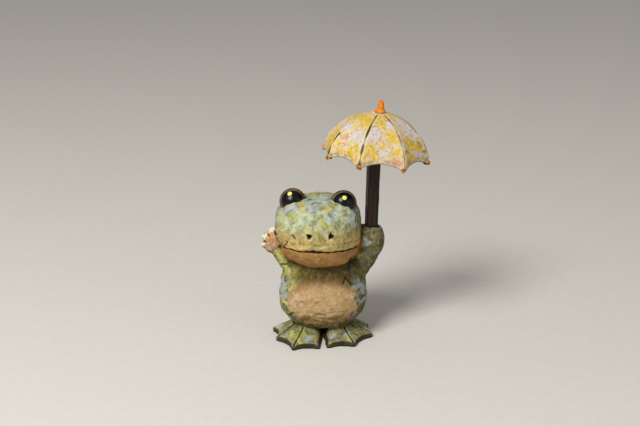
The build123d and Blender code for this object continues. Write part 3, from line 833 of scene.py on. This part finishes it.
canopy.data.transform(CANOPY_PLACE)
boss = add_shape(
    bpy.ops.mesh.primitive_cylinder_add, "boss", vertices=12, radius=BOSS_RADIUS * MM,
    depth=(BOSS_TOP - BOSS_FOOT) * MM, location=(0, 0, (BOSS_TOP + BOSS_FOOT) / 2 * MM),
)
bpy.ops.object.transform_apply(location=True)
apply_modifier(boss, "BEVEL", width=0.5 * MM, segments=2)
paint_guide(boss, "inside", np.ones(len(boss.data.vertices)))
boss.select_set(True)
canopy.select_set(True)
bpy.context.view_layer.objects.active = canopy
bpy.ops.object.join()
mark_relief(canopy, 0.12, 0.10, rounds=8)
canopy.data.transform(PARASOL)
print("canopy with its boss:", len(canopy.data.polygons), "faces")

# %% [markdown]
# The patches on the canopy are large and plain to see, so they are laid as dabs too, just as
# on the frog.

# %% Lay out the canopy's colours
CANOPY_YELLOW = (
    (28.6, 42.7, 2.8), (23.2, 28.8, 3.1), (25.6, 26.7, 2.2), (34.6, 35.1, 2.4), (32.8, 36.3, 1.8),
    (36.1, 28.5, 2.1), (44.0, 31.5, 3.0), (42.5, 25.2, 1.9), (5.4, 33.3, 2.9), (6.9, 38.1, 2.1),
    (3.3, 29.7, 1.8), (22.3, 42.7, 2.7), (19.6, 44.8, 1.8), (13.5, 27.3, 2.9), (9.3, 27.9, 1.8),
    (17.1, 29.7, 1.6), (20.8, 26.1, 1.4), (29.2, 30.9, 1.2), (41.3, 33.9, 1.6), (7.8, 40.4, 1.8),
    (4.6, 31.2, 1.6), (6.0, 35.8, 1.8), (12.2, 44.4, 1.5),
)
CANOPY_WHITE = (
    (25.9, 37.5, 2.8), (22.9, 35.1, 1.8), (29.5, 27.9, 2.5), (41.3, 38.7, 3.1), (37.7, 42.4, 1.8),
    (44.9, 35.7, 1.8), (12.6, 41.8, 2.2), (17.1, 36.3, 2.7), (12.9, 38.7, 1.6), (46.7, 27.3, 1.8),
    (32.2, 40.8, 1.6), (26.8, 29.7, 1.2), (19.6, 32.7, 1.6),
)
CANOPY_PINK = (
    (28.6, 33.6, 1.0), (30.4, 33.0, 0.8), (12.0, 35.4, 1.4), (33.7, 21.9, 2.7), (37.7, 23.7, 1.8),
    (10.5, 32.7, 1.1), (38.3, 33.9, 1.0), (17.1, 24.9, 1.2), (25.6, 24.9, 1.0), (32.8, 43.6, 0.8),
)
CANOPY_OLIVE = (
    (50.0, 25.5, 1.6), (47.3, 32.1, 1.3), (4.5, 27.0, 1.6), (8.1, 26.1, 1.3), (42.5, 22.5, 1.6),
    (41.3, 28.5, 1.1), (19.0, 22.5, 1.6), (48.5, 28.5, 1.1), (22.0, 21.9, 1.1),
)

for name, places, seed in (
    ("white", CANOPY_WHITE, 72),
    ("yellow", CANOPY_YELLOW, 71),
    ("pink", CANOPY_PINK, None),
    ("olive", CANOPY_OLIVE, None),
):
    paint_guide(canopy, name, dabs(canopy, places, seed))
print("white and yellow patches on the front:", len(CANOPY_WHITE) + len(CANOPY_YELLOW))

# %% [markdown]
# Each rib ends in a small carved knob, painted orange. One knob is shaped from an ico sphere,
# drawn out, cut flat in a few places and crossed by two slanting knife lines. Copies, each
# with its own mesh, go to all eight ribs. Every other copy is flipped over, and the rest are
# turned by different amounts about their long axis, so that neighbours don't look alike.

# %% Put a knob on each rib
KNOB_RADIUS = 1.42
KNOB_STRETCH = (0.85, 1.0, 1.3)

first_knob = add_shape(
    bpy.ops.mesh.primitive_ico_sphere_add, "knob", subdivisions=5, radius=KNOB_RADIUS * MM
)
bpy.ops.object.mode_set(mode="EDIT")
bpy.ops.mesh.select_all(action="SELECT")
bpy.ops.transform.resize(value=KNOB_STRETCH)
bpy.ops.object.mode_set(mode="OBJECT")
spots = scattered(points_of(first_knob), gap=1.5, seed=31)
chisel(first_knob, spots, reach=1.4, share=0.7, deepest=0.4, tilt=0.12, seed=32)
points, facing = points_of(first_knob), facing_of(first_knob)
_, along, up = points.T
cut = notch(np.minimum(np.abs(up + 0.5 * along - 0.3), np.abs(up - 0.9 * along + 0.8)), 0.22)
put_points(first_knob, points - facing * (0.25 * cut)[:, None])
paint_guide(first_knob, "dark", ease(cut, 0.1, 0.8))
knobs = []
for rib, turn in enumerate(RIB_TURNS):
    knob = first_knob.copy()
    knob.data = first_knob.data.copy()
    bpy.context.scene.collection.objects.link(knob)
    own_turn = Matrix.Rotation(rib * 2.4, 4, "Z") if rib % 2 else Matrix.Rotation(math.pi, 4, "X")
    out = Matrix.Translation(((CANOPY_RADIUS - 0.8) * MM, 0, 0.9 * MM))
    round_axis = Matrix.Rotation(math.radians(turn), 4, "Z")
    knob.data.transform(PARASOL @ CANOPY_PLACE @ round_axis @ out @ own_turn)
    knobs.append(knob)
bpy.data.objects.remove(first_knob)
bpy.ops.object.select_all(action="DESELECT")
for knob in knobs:
    knob.select_set(True)
bpy.context.view_layer.objects.active = knobs[0]
bpy.ops.object.join()
tips = bpy.context.object
tips.name = "rib_knobs"
print("knobs:", RIBS)

# %% [markdown]
# The stick is a square bar that was split and shaved, so its edges waver. A cube is drawn out
# to the stick's length and cut across into short lengths. Each cut's points are moved a hair,
# and the long edges are bevelled as a knife would ease them.

# %% Shave the stick
STICK_WIDTH = 5.6
STICK_LENGTH = BOSS_FOOT
STICK_TURN = math.radians(10)
STICK_STEP = 2.5

stick = add_shape(
    bpy.ops.mesh.primitive_cube_add, "stick_carving", size=1, location=(0, 0, STICK_LENGTH / 2 * MM)
)
stick.scale = Vector((STICK_WIDTH, STICK_WIDTH, STICK_LENGTH)) * MM
bpy.ops.object.transform_apply(location=True, scale=True)
bpy.ops.object.mode_set(mode="EDIT")
for height in np.arange(STICK_STEP, STICK_LENGTH, STICK_STEP):
    bpy.ops.mesh.select_all(action="SELECT")
    bpy.ops.mesh.bisect(plane_co=(0, 0, height * MM), plane_no=(0, 0, 1))
bpy.ops.object.mode_set(mode="OBJECT")
points = points_of(stick)
draw = np.random.default_rng(41)
points[:, :2] -= np.sign(points[:, :2]) * draw.uniform(0, 0.22, (len(points), 2))
put_points(stick, points)
apply_modifier(stick, "BEVEL", width=0.42 * MM, segments=3, limit_method="ANGLE")
apply_modifier(stick, "SUBSURF", levels=2, render_levels=2, subdivision_type="CATMULL_CLARK")
points = points_of(stick)
paint_guide(stick, "dark", 1 - ease(points[:, 2], 0.2, 1.6))
corner = np.abs(np.abs(points[:, 0]) - np.abs(points[:, 1]))
paint_guide(stick, "corner", 1 - ease(corner, 0.3, 0.9))
stick.data.transform(PARASOL @ Matrix.Rotation(STICK_TURN, 4, "Z"))
lone_active(stick)
bpy.ops.object.shade_smooth_by_angle(angle=math.radians(40))
print("stick:", len(stick.data.polygons), "faces")

# %% [markdown]
# The finial is a little whittled peg. A ten-sided cylinder is its foot. Its top is extruded
# and drawn in six times, to the waist, up the neck and over the tip. Subdivision Surface
# rounds it before the knife takes a few flats off it.

# %% Whittle the finial
FINIAL_FOOT = (2.95, 0.8)
FINIAL_SUNK = 0.6
FINIAL_STEPS = ((2.1, 0.7), (1.65, 0.8), (1.6, 1.2), (1.5, 1.2), (1.3, 0.8), (0.8, 0.28))

reach, foot_height = FINIAL_FOOT
finial = add_shape(
    bpy.ops.mesh.primitive_cylinder_add, "finial_carving", vertices=10, radius=reach * MM,
    depth=(foot_height + FINIAL_SUNK) * MM, location=(0, 0, (foot_height - FINIAL_SUNK) / 2 * MM),
)
bpy.ops.object.transform_apply(location=True)
bpy.ops.object.mode_set(mode="EDIT")
bpy.ops.mesh.select_mode(type="FACE")
bpy.ops.mesh.select_all(action="DESELECT")
bpy.ops.object.mode_set(mode="OBJECT")
for face in finial.data.polygons:
    face.select = face.normal.z > 0.9
bpy.ops.object.mode_set(mode="EDIT")
for radius, step in FINIAL_STEPS:
    bpy.ops.mesh.extrude_region_move(TRANSFORM_OT_translate={"value": (0, 0, step * MM)})
    bpy.ops.transform.resize(value=(radius / reach, radius / reach, 1))
    reach = radius
bpy.ops.object.mode_set(mode="OBJECT")
apply_modifier(finial, "SUBSURF", levels=3, render_levels=3)
spots = scattered(points_of(finial), gap=1.3, seed=51)
chisel(finial, spots, reach=1.3, share=0.5, deepest=0.12, tilt=0.06, seed=52)
points = points_of(finial)
paint_guide(finial, "dark", 1 - ease(points[:, 2], 0.0, 0.7))
finial.data.transform(PARASOL @ CANOPY_PLACE @ Matrix.Translation((0, 0, CANOPY_RISE * MM)))
lone_active(finial)
bpy.ops.object.shade_smooth()
print("finial:", len(finial.data.polygons), "faces")

# %% [markdown]
# Paint is laid in coats, so the materials are written that way. A Paint starts with a ground
# colour, and each coat covers it where a mask says so. The masks are noise, which is broken up
# like dabs of a brush, pushed up or down by the guides that were stored on the carving.
# Sizes are in millimetres again, and colours are written as a picture shows them.

# %% Mix the paints
def picture_colour(red, green, blue):
    """Turns a colour from 0 to 255, as seen, into the linear light that Blender mixes."""
    seen = np.array((red, green, blue)) / 255
    light = np.where(seen <= 0.04045, seen / 12.92, ((seen + 0.055) / 1.055) ** 2.4)
    return (*light.tolist(), 1.0)


class Paint:
    """A material built up coat by coat."""

    def __init__(self, name, ground):
        self.material = bpy.data.materials.new(name)
        self.material.use_nodes = True
        self.tree = self.material.node_tree
        self.shader = self.tree.nodes["Principled BSDF"]
        self.shader.inputs["Specular IOR Level"].default_value = 0.12
        self.place = self.tree.nodes.new("ShaderNodeTexCoord").outputs["Object"]
        self.colour = picture_colour(*ground)
        self.shifts = 0

    def feed(self, socket, value):
        """Links a node's output to a socket, or sets the socket to a number or a colour."""
        if isinstance(value, bpy.types.NodeSocket):
            self.tree.links.new(value, socket)
        else:
            socket.default_value = value

    def math(self, how, *values):
        """One step of arithmetic."""
        node = self.tree.nodes.new("ShaderNodeMath")
        node.operation = how
        for socket, value in zip(node.inputs, values):
            self.feed(socket, value)
        return node.outputs[0]

    def guide(self, name):
        """A guide stored on the piece's points."""
        node = self.tree.nodes.new("ShaderNodeAttribute")
        node.attribute_name = name
        return node.outputs["Fac"]

    def noise(self, size, detail=2.0, stretch=(1, 1, 1), roughness=0.5):
        """Soft spots about as wide as a size in millimetres, in a place of their own."""
        self.shifts += 1
        mapping = self.tree.nodes.new("ShaderNodeMapping")
        self.feed(mapping.inputs["Vector"], self.place)
        mapping.inputs["Location"].default_value = [0.37 * self.shifts, 0.11 * self.shifts, 0]
        mapping.inputs["Scale"].default_value = stretch
        node = self.tree.nodes.new("ShaderNodeTexNoise")
        self.feed(node.inputs["Vector"], mapping.outputs[0])
        node.inputs["Scale"].default_value = 1 / (size * MM)
        node.inputs["Detail"].default_value = detail
        node.inputs["Roughness"].default_value = roughness
        return node.outputs[0]

    def between(self, value, low, high):
        """0 below low, 1 above high, smooth between."""
        node = self.tree.nodes.new("ShaderNodeMapRange")
        node.interpolation_type = "SMOOTHSTEP"
        self.feed(node.inputs["Value"], value)
        node.inputs["From Min"].default_value = low
        node.inputs["From Max"].default_value = high
        return node.outputs["Result"]

    def patch(self, size, share, soft=0.05, guide=None, pull=0.3, **noise):
        """A mask of broken spots, with more of them where the guide is strong."""
        value = self.noise(size, **noise)
        if guide:
            value = self.math("MULTIPLY_ADD", self.guide(guide), pull, value)
        return self.between(value, share - soft, share + soft)

    def mask(self, *masks):
        """Where all of some masks are strong. A name stands for the guide of that name."""
        product, *others = [self.guide(mask) if isinstance(mask, str) else mask for mask in masks]
        for other in others:
            product = self.math("MULTIPLY", product, other)
        return product

    def less(self, mask, amount):
        """1 where a mask is weak, and lower by an amount where it is strong."""
        return self.math("MULTIPLY_ADD", self.mask(mask), -amount, 1.0)

    def coat(self, colour, strength, *masks):
        """Lays a colour over what is there, where all the masks are strong."""
        node = self.tree.nodes.new("ShaderNodeMix")
        node.data_type = "RGBA"
        self.feed(node.inputs["Factor"], self.mask(strength, *masks))
        self.feed(node.inputs[6], self.colour)
        self.feed(node.inputs[7], picture_colour(*colour))
        self.colour = node.outputs[2]

    def dry(self, roughness, relief, depth):
        """Ends the paint: its colour, how matt it is, and how deep its texture is."""
        self.feed(self.shader.inputs["Base Color"], self.colour)
        self.feed(self.shader.inputs["Roughness"], roughness)
        bump = self.tree.nodes.new("ShaderNodeBump")
        bump.inputs["Distance"].default_value = depth * MM
        self.feed(bump.inputs["Height"], relief)
        self.feed(self.shader.inputs["Normal"], bump.outputs[0])
        return self.material


# %% [markdown]
# The frog's paint was dabbed on with an almost dry brush. Over an olive ground, paler on the
# head, where painted light from above adds to the pale paint, lie soft patches of mint, leaf
# green, blue and yellow, where the guides put them. Fine specks break them up. The snout is
# ochre, and the belly, jaw and palm are tan. A dark wash sits in the small hollows and on the
# throat, and the edges of the green have been rubbed pale. Painted shade darkens the wide
# creases, the undersides, the throat, the top of the belly under the head and the frog's own
# left side, and the pale specks and rubbed edges stay mostly off that side.

# %% Paint the frog
skin = Paint("frog_paint", (138, 132, 80))
# The paler crown is pale paint and painted light from above.
skin.coat((190, 197, 162), 0.92, "crown")
skin.coat((138, 140, 92), 0.7, skin.less("crown", 0.85), skin.patch(5.0, 0.53, 0.12, detail=4))
skin.coat((176, 178, 138), 0.6, skin.patch(4.0, 0.66, 0.14, "crown", 0.12, detail=4))
# Painted shade over the frog's own left side, away from the key lamp, where the paint is also darker.
skin.coat((70, 62, 34), 0.95, skin.patch(3.4, 0.5, 0.2, "shaded_side", 0.54, detail=4))
for colour, strength, name in (
    ((190, 208, 170), 0.5, "mint"),
    ((158, 160, 56), 0.85, "leaf"),
    ((164, 180, 192), 0.75, "blue"),
    ((206, 192, 96), 0.75, "yellow"),
):
    skin.coat(colour, strength, skin.patch(2.8, 0.74, 0.26, name, 0.56, detail=6))
skin.coat((212, 178, 96), 0.85, "snout", skin.patch(5.0, 0.3, 0.2, detail=3))
skin.coat((164, 140, 66), 0.65, "snout", skin.patch(2.8, 0.58, 0.16, detail=4))
skin.coat((128, 112, 46), 0.7, skin.patch(2.0, 0.72, 0.16, "snout_band", 0.4, detail=4))
skin.coat((116, 108, 50), 0.6, skin.patch(2.4, 0.84, 0.2, "olive", 0.46, detail=5))
# The lit side, where the painted shade of the left side is weak. Pale specks and rubbed edges stay
# mostly on it, which paints that side lighter.
lit_side = skin.less("shaded_side", 0.75)
skin.coat((214, 212, 180), 0.35, lit_side, skin.patch(0.9, 0.6, 0.12, detail=3))
skin.coat((104, 102, 58), 0.3, skin.patch(0.7, 0.61, 0.12, detail=3))

rough_edge = skin.math("MULTIPLY_ADD", skin.noise(2.6, detail=5), 1.9, -0.95)


def ragged(name, low, high):
    """One guide with a ragged edge, and nothing outside the guide."""
    inside = skin.between(skin.math("ADD", skin.guide(name), rough_edge), low, high)
    return skin.mask(inside, skin.between(skin.guide(name), 0.02, 0.2))


belly = ragged("belly", 0.15, 0.95)
skin.coat((184, 152, 104), 1, belly)
skin.coat((170, 134, 84), 0.7, belly, skin.patch(4.0, 0.5, 0.16, detail=3, stretch=(0.6, 0.6, 1.3)))
skin.coat((204, 180, 146), 0.6, belly, skin.patch(1.6, 0.56, 0.12, detail=4))
skin.coat((206, 160, 136), 0.4, belly, skin.patch(1.0, 0.62, 0.08, detail=3))
# Painted shade at the top of the belly, under the head, and a little near the feet.
skin.coat((126, 92, 48), 0.85, belly, "belly_shade")
skin.coat((208, 172, 82), 0.55, belly, skin.patch(2.2, 0.84, 0.2, "yellow", 0.56, detail=5))
skin.coat((206, 184, 164), 0.6, belly, skin.patch(1.2, 0.8, 0.2, "pale", 0.5, detail=6))
jaw = ragged("jaw", 0.1, 0.5)
skin.coat((162, 118, 66), 1, jaw)
skin.coat((178, 134, 78), 0.6, jaw, skin.patch(3.0, 0.52, 0.16, detail=3))
skin.coat((130, 88, 44), 0.6, jaw, skin.patch(3.4, 0.54, 0.14, stretch=(0.4, 0.4, 1.5)))
palm = ragged("palm", 0.1, 0.7)
skin.coat((178, 130, 88), 1, palm)
skin.coat((206, 188, 162), 0.65, palm, skin.patch(1.2, 0.5, 0.1, stretch=(1, 1, 0.4)))
skin.coat((228, 222, 184), 0.9, skin.between(skin.guide("finger_tips"), 0.25, 0.5))
skin.coat((230, 198, 118), 0.85, "lip", skin.patch(1.6, 0.36, 0.15))
orange = skin.patch(0.9, 0.84, 0.14, "orange", 0.55, detail=4)
skin.coat((214, 142, 58), 0.85, orange, skin.between(skin.guide("orange"), 0.05, 0.3))
green = skin.less(skin.math("MAXIMUM", skin.guide("belly"), skin.guide("jaw")), 0.8)
skin.coat((220, 214, 184), 0.45, "edge", green, lit_side, skin.patch(1.0, 0.48))
# Painted highlight on the low rim of each nostril.
skin.coat((220, 204, 180), 0.8, "nostril_highlight")

skin.coat((46, 40, 20), 0.9, "foot_wall")
skin.coat((28, 22, 10), 0.9, "foot_sole")
# Painted shade on the surfaces that face down.
skin.coat((70, 58, 22), 0.75, "under", skin.patch(3.0, 0.42, 0.2))
# The throat: a dark wash and painted shade under the jaw.
throat_shade_and_wash = skin.mask("throat", skin.patch(2.4, 0.3, 0.2, detail=4))
skin.coat((72, 58, 20), 0.95, throat_shade_and_wash)
skin.coat((112, 98, 40), 0.6, throat_shade_and_wash, skin.patch(2.0, 0.58, 0.1, detail=4))
# Painted shade in the wide creases.
skin.coat((56, 44, 18), 0.9, "deep", green, skin.patch(2.0, 0.36, 0.2, detail=3))
skin.coat((84, 70, 34), 0.7, "hollow", green, skin.patch(2.5, 0.42, 0.15))
skin.coat((30, 20, 10), 0.96, "dark")
strokes = skin.noise(0.8, detail=4, stretch=(1, 1, 2.2), roughness=0.65)
matt = skin.math("MULTIPLY_ADD", skin.noise(1.5), 0.25, 0.55)
frog.data.materials.append(skin.dry(matt, strokes, 0.14))
lone_active(frog)
bpy.ops.object.shade_smooth()
print("nodes in the frog's paint:", len(skin.tree.nodes))

# %% [markdown]
# The back of each eye is mottled like the skin. The disc is black enamel, glossy enough to
# mirror the lamp. Round it runs a thin pale line, then a brown rim that fades into the green.

# %% Paint the eyes
enamel = Paint("eye_enamel", (140, 136, 84))
enamel.coat((176, 184, 146), 0.8, enamel.patch(3.0, 0.5, 0.1, detail=5))
enamel.coat((154, 170, 180), 0.6, enamel.patch(2.4, 0.57, 0.08, detail=5))
enamel.coat((104, 98, 52), 0.7, enamel.patch(2.0, 0.55, 0.1, detail=5))
enamel.coat((70, 48, 28), 1, "rim")
enamel.coat((92, 90, 52), 0.8, "rim", enamel.patch(1.8, 0.52, 0.08))
enamel.coat((150, 108, 60), 0.5, "rim", enamel.patch(1.1, 0.6))
enamel.coat((168, 140, 98), 0.4, "pale_ring", enamel.patch(2.0, 0.5, 0.1))
enamel.coat((12, 11, 12), 1, "disc")
gloss = enamel.math("MULTIPLY_ADD", enamel.guide("disc"), -0.3, 0.55)
enamel.dry(gloss, enamel.noise(0.7, detail=3), 0.05)
enamel.shader.inputs["Specular IOR Level"].default_value = 0.3
for ball in eyeballs:
    ball.data.materials.append(enamel.material)

glint_paint = Paint("glint_paint", (236, 222, 84))
glint_paint.coat((246, 238, 150), 1, glint_paint.patch(0.8, 0.52))
glint_paint.dry(0.4, glint_paint.noise(0.6), 0.04)
for glint in glints:
    glint.data.materials.append(glint_paint.material)
print("eyes painted")

# %% [markdown]
# The canopy is painted in cream, strong yellow and a cool white, with a few strokes of pink,
# all broken up by fine olive specks. A band of lilac and olive strokes runs along the rim. The
# knife lines and the underside are dark.

# %% Paint the canopy
cloth = Paint("canopy_paint", (214, 192, 142))
cloth.coat((200, 182, 160), 0.8, cloth.patch(3.6, 0.52, 0.12, detail=5))
cloth.coat((214, 184, 96), 0.7, cloth.patch(3.2, 0.55, 0.12, detail=5))
for colour, strength, name in (
    ((202, 196, 204), 0.85, "white"),
    ((214, 176, 34), 0.92, "yellow"),
    ((212, 142, 112), 0.75, "pink"),
    ((118, 106, 46), 0.75, "olive"),
):
    cloth.coat(colour, strength, cloth.patch(2.8, 0.74, 0.16, name, 0.62, detail=6))
cloth.coat((238, 228, 194), 0.5, cloth.patch(1.5, 0.6, 0.1, detail=5))
cloth.coat((138, 118, 60), 0.55, cloth.patch(1.2, 0.61, 0.08, detail=5))
cloth.coat((204, 160, 146), 0.5, cloth.patch(1.6, 0.63, 0.08, detail=5))
cloth.coat((190, 168, 160), 0.7, "rim_band", cloth.patch(1.8, 0.46, 0.1, detail=4))
cloth.coat((112, 94, 46), 0.8, "rim_band", cloth.patch(1.3, 0.5, 0.08, detail=5))
for colour, strength, name in (
    ((240, 226, 186), 0.35, "edge"),
    ((130, 104, 54), 0.4, "hollow"),
    ((92, 72, 40), 0.95, "inside"),
    ((70, 54, 26), 0.85, "rim"),
    ((36, 26, 14), 0.95, "dark"),
):
    cloth.coat(colour, strength, name)
weathered = cloth.noise(0.8, detail=4, stretch=(1.6, 1.6, 1), roughness=0.65)
matt = cloth.math("MULTIPLY_ADD", cloth.noise(1.5), 0.25, 0.55)
canopy.data.materials.append(cloth.dry(matt, weathered, 0.16))
lone_active(canopy)
bpy.ops.object.shade_smooth_by_angle(angle=math.radians(50))

knob_paint = Paint("knob_paint", (196, 118, 44))
knob_paint.coat((220, 166, 84), 1, knob_paint.patch(0.8, 0.55))
knob_paint.coat((110, 66, 28), 0.85, knob_paint.patch(0.8, 0.55))
knob_paint.coat((40, 26, 14), 0.9, "dark")
tips.data.materials.append(knob_paint.dry(0.6, knob_paint.noise(0.5, detail=3), 0.08))
print("canopy painted")

# %% [markdown]
# The stick is stained almost black, so only the grain shows. Noise that is stretched a long
# way up the stick looks like grain. The finial is orange, darker round its foot.

# %% Stain the stick and paint the finial
stain = Paint("stick_stain", (34, 22, 12))
stain.coat((52, 34, 18), 0.8, stain.patch(1.2, 0.52, 0.08, stretch=(1, 1, 0.06), detail=4))
stain.coat((20, 13, 7), 0.8, stain.patch(0.6, 0.58, stretch=(1, 1, 0.05), detail=3))
stain.coat((16, 10, 6), 0.7, "corner")
stain.coat((12, 8, 5), 0.9, "dark")
grain = stain.noise(0.5, detail=4, stretch=(1, 1, 0.05))
stick.data.materials.append(stain.dry(stain.math("MULTIPLY_ADD", grain, 0.3, 0.4), grain, 0.08))
stain.shader.inputs["Specular IOR Level"].default_value = 0.25

peg_paint = Paint("finial_paint", (226, 134, 36))
peg_paint.coat((204, 100, 22), 1, peg_paint.patch(1.5, 0.54, 0.08))
peg_paint.coat((238, 172, 80), 0.7, peg_paint.patch(0.8, 0.58, 0.06))
peg_paint.coat((120, 62, 22), 0.7, "dark")
finial.data.materials.append(peg_paint.dry(0.5, peg_paint.noise(0.6, detail=3), 0.07))
print("stick and finial finished")

# %% [markdown]
# Each new piece now takes the place of its blank. The blanks stay in the file, hidden, for
# the parts of the work that need plain solids.

# %% Put the pieces in place of the blanks
for piece, slot in (
    (frog, "painted_frog"),
    (canopy, "painted_canopy"),
    (tips, "orange_finial"),
    (stick, "dark_stick"),
    (finial, "orange_finial"),
    *((ball, "painted_frog") for ball in eyeballs),
    *((glint, "painted_frog") for glint in glints),
):
    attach(piece, "root")
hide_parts("frog_figure")
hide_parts("umbrella_canopy")
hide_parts("umbrella_stick")
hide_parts("umbrella_finial")

# %% [markdown]
# The floor is pale and plain and runs far on behind the frog. The key lamp is a large soft
# panel in front, high on the left, as in the picture, so the frog's own left side falls into a
# soft shade. A weak fill lamp and the world give the rest of the light. The world looks pale
# to the camera, but lights the object less than that.

# %% Set the floor, the lamps and the camera
FLOOR_SIZE = 6
LAMP_TARGET = (0, 0, 0.06)
LENS = 78.75

floor = add_shape(bpy.ops.mesh.primitive_plane_add, "floor", size=FLOOR_SIZE)
board = Paint("floor_paint", (222, 218, 210))
board.coat((219, 215, 207), 1, board.patch(4.0, 0.5, 0.2))
floor.data.materials.append(board.dry(0.85, board.noise(0.8), 0.01))

world = bpy.data.worlds.new("soft_room")
bpy.context.scene.world = world
world.use_nodes = True
sky = world.node_tree
surround = sky.nodes["Background"]
surround.inputs["Color"].default_value = (1.0, 0.98, 0.95, 1)
surround.inputs["Strength"].default_value = 0.3
backdrop = sky.nodes.new("ShaderNodeBackground")
backdrop.inputs["Color"].default_value = picture_colour(226, 222, 214)
rays = sky.nodes.new("ShaderNodeLightPath")
choose = sky.nodes.new("ShaderNodeMixShader")
sky.links.new(rays.outputs["Is Camera Ray"], choose.inputs[0])
sky.links.new(surround.outputs[0], choose.inputs[1])
sky.links.new(backdrop.outputs[0], choose.inputs[2])
sky.links.new(choose.outputs[0], sky.nodes["World Output"].inputs["Surface"])


def add_lamp(name, place, size, watts):
    """A square soft lamp that faces the frog."""
    lamp = bpy.data.objects.new(name, bpy.data.lights.new(name, "AREA"))
    lamp.data.size = size
    lamp.data.energy = watts
    lamp.location = place
    aim = Vector(LAMP_TARGET) - Vector(place)
    lamp.rotation_euler = aim.to_track_quat("-Z", "Y").to_euler()
    bpy.context.scene.collection.objects.link(lamp)


add_lamp("key_lamp", (-0.42, -0.66, 0.86), size=0.42, watts=11.5)
add_lamp("fill_lamp", (0.9, -0.7, 0.4), size=0.8, watts=1.0)

camera = bpy.data.objects.new("camera", bpy.data.cameras.new("camera"))
bpy.context.scene.collection.objects.link(camera)
away = Vector(VIEW_AWAY)
camera.location = (Vector(VIEW_MIDDLE) + away * VIEW_DISTANCE) * MM
camera.rotation_euler = (-away).to_track_quat("-Z", "Y").to_euler()
camera.data.lens = LENS
camera.data.sensor_width = 36
camera.data.clip_start, camera.data.clip_end = 0.01, 20
bpy.context.scene.camera = camera
bpy.context.scene.view_settings.view_transform = "Standard"
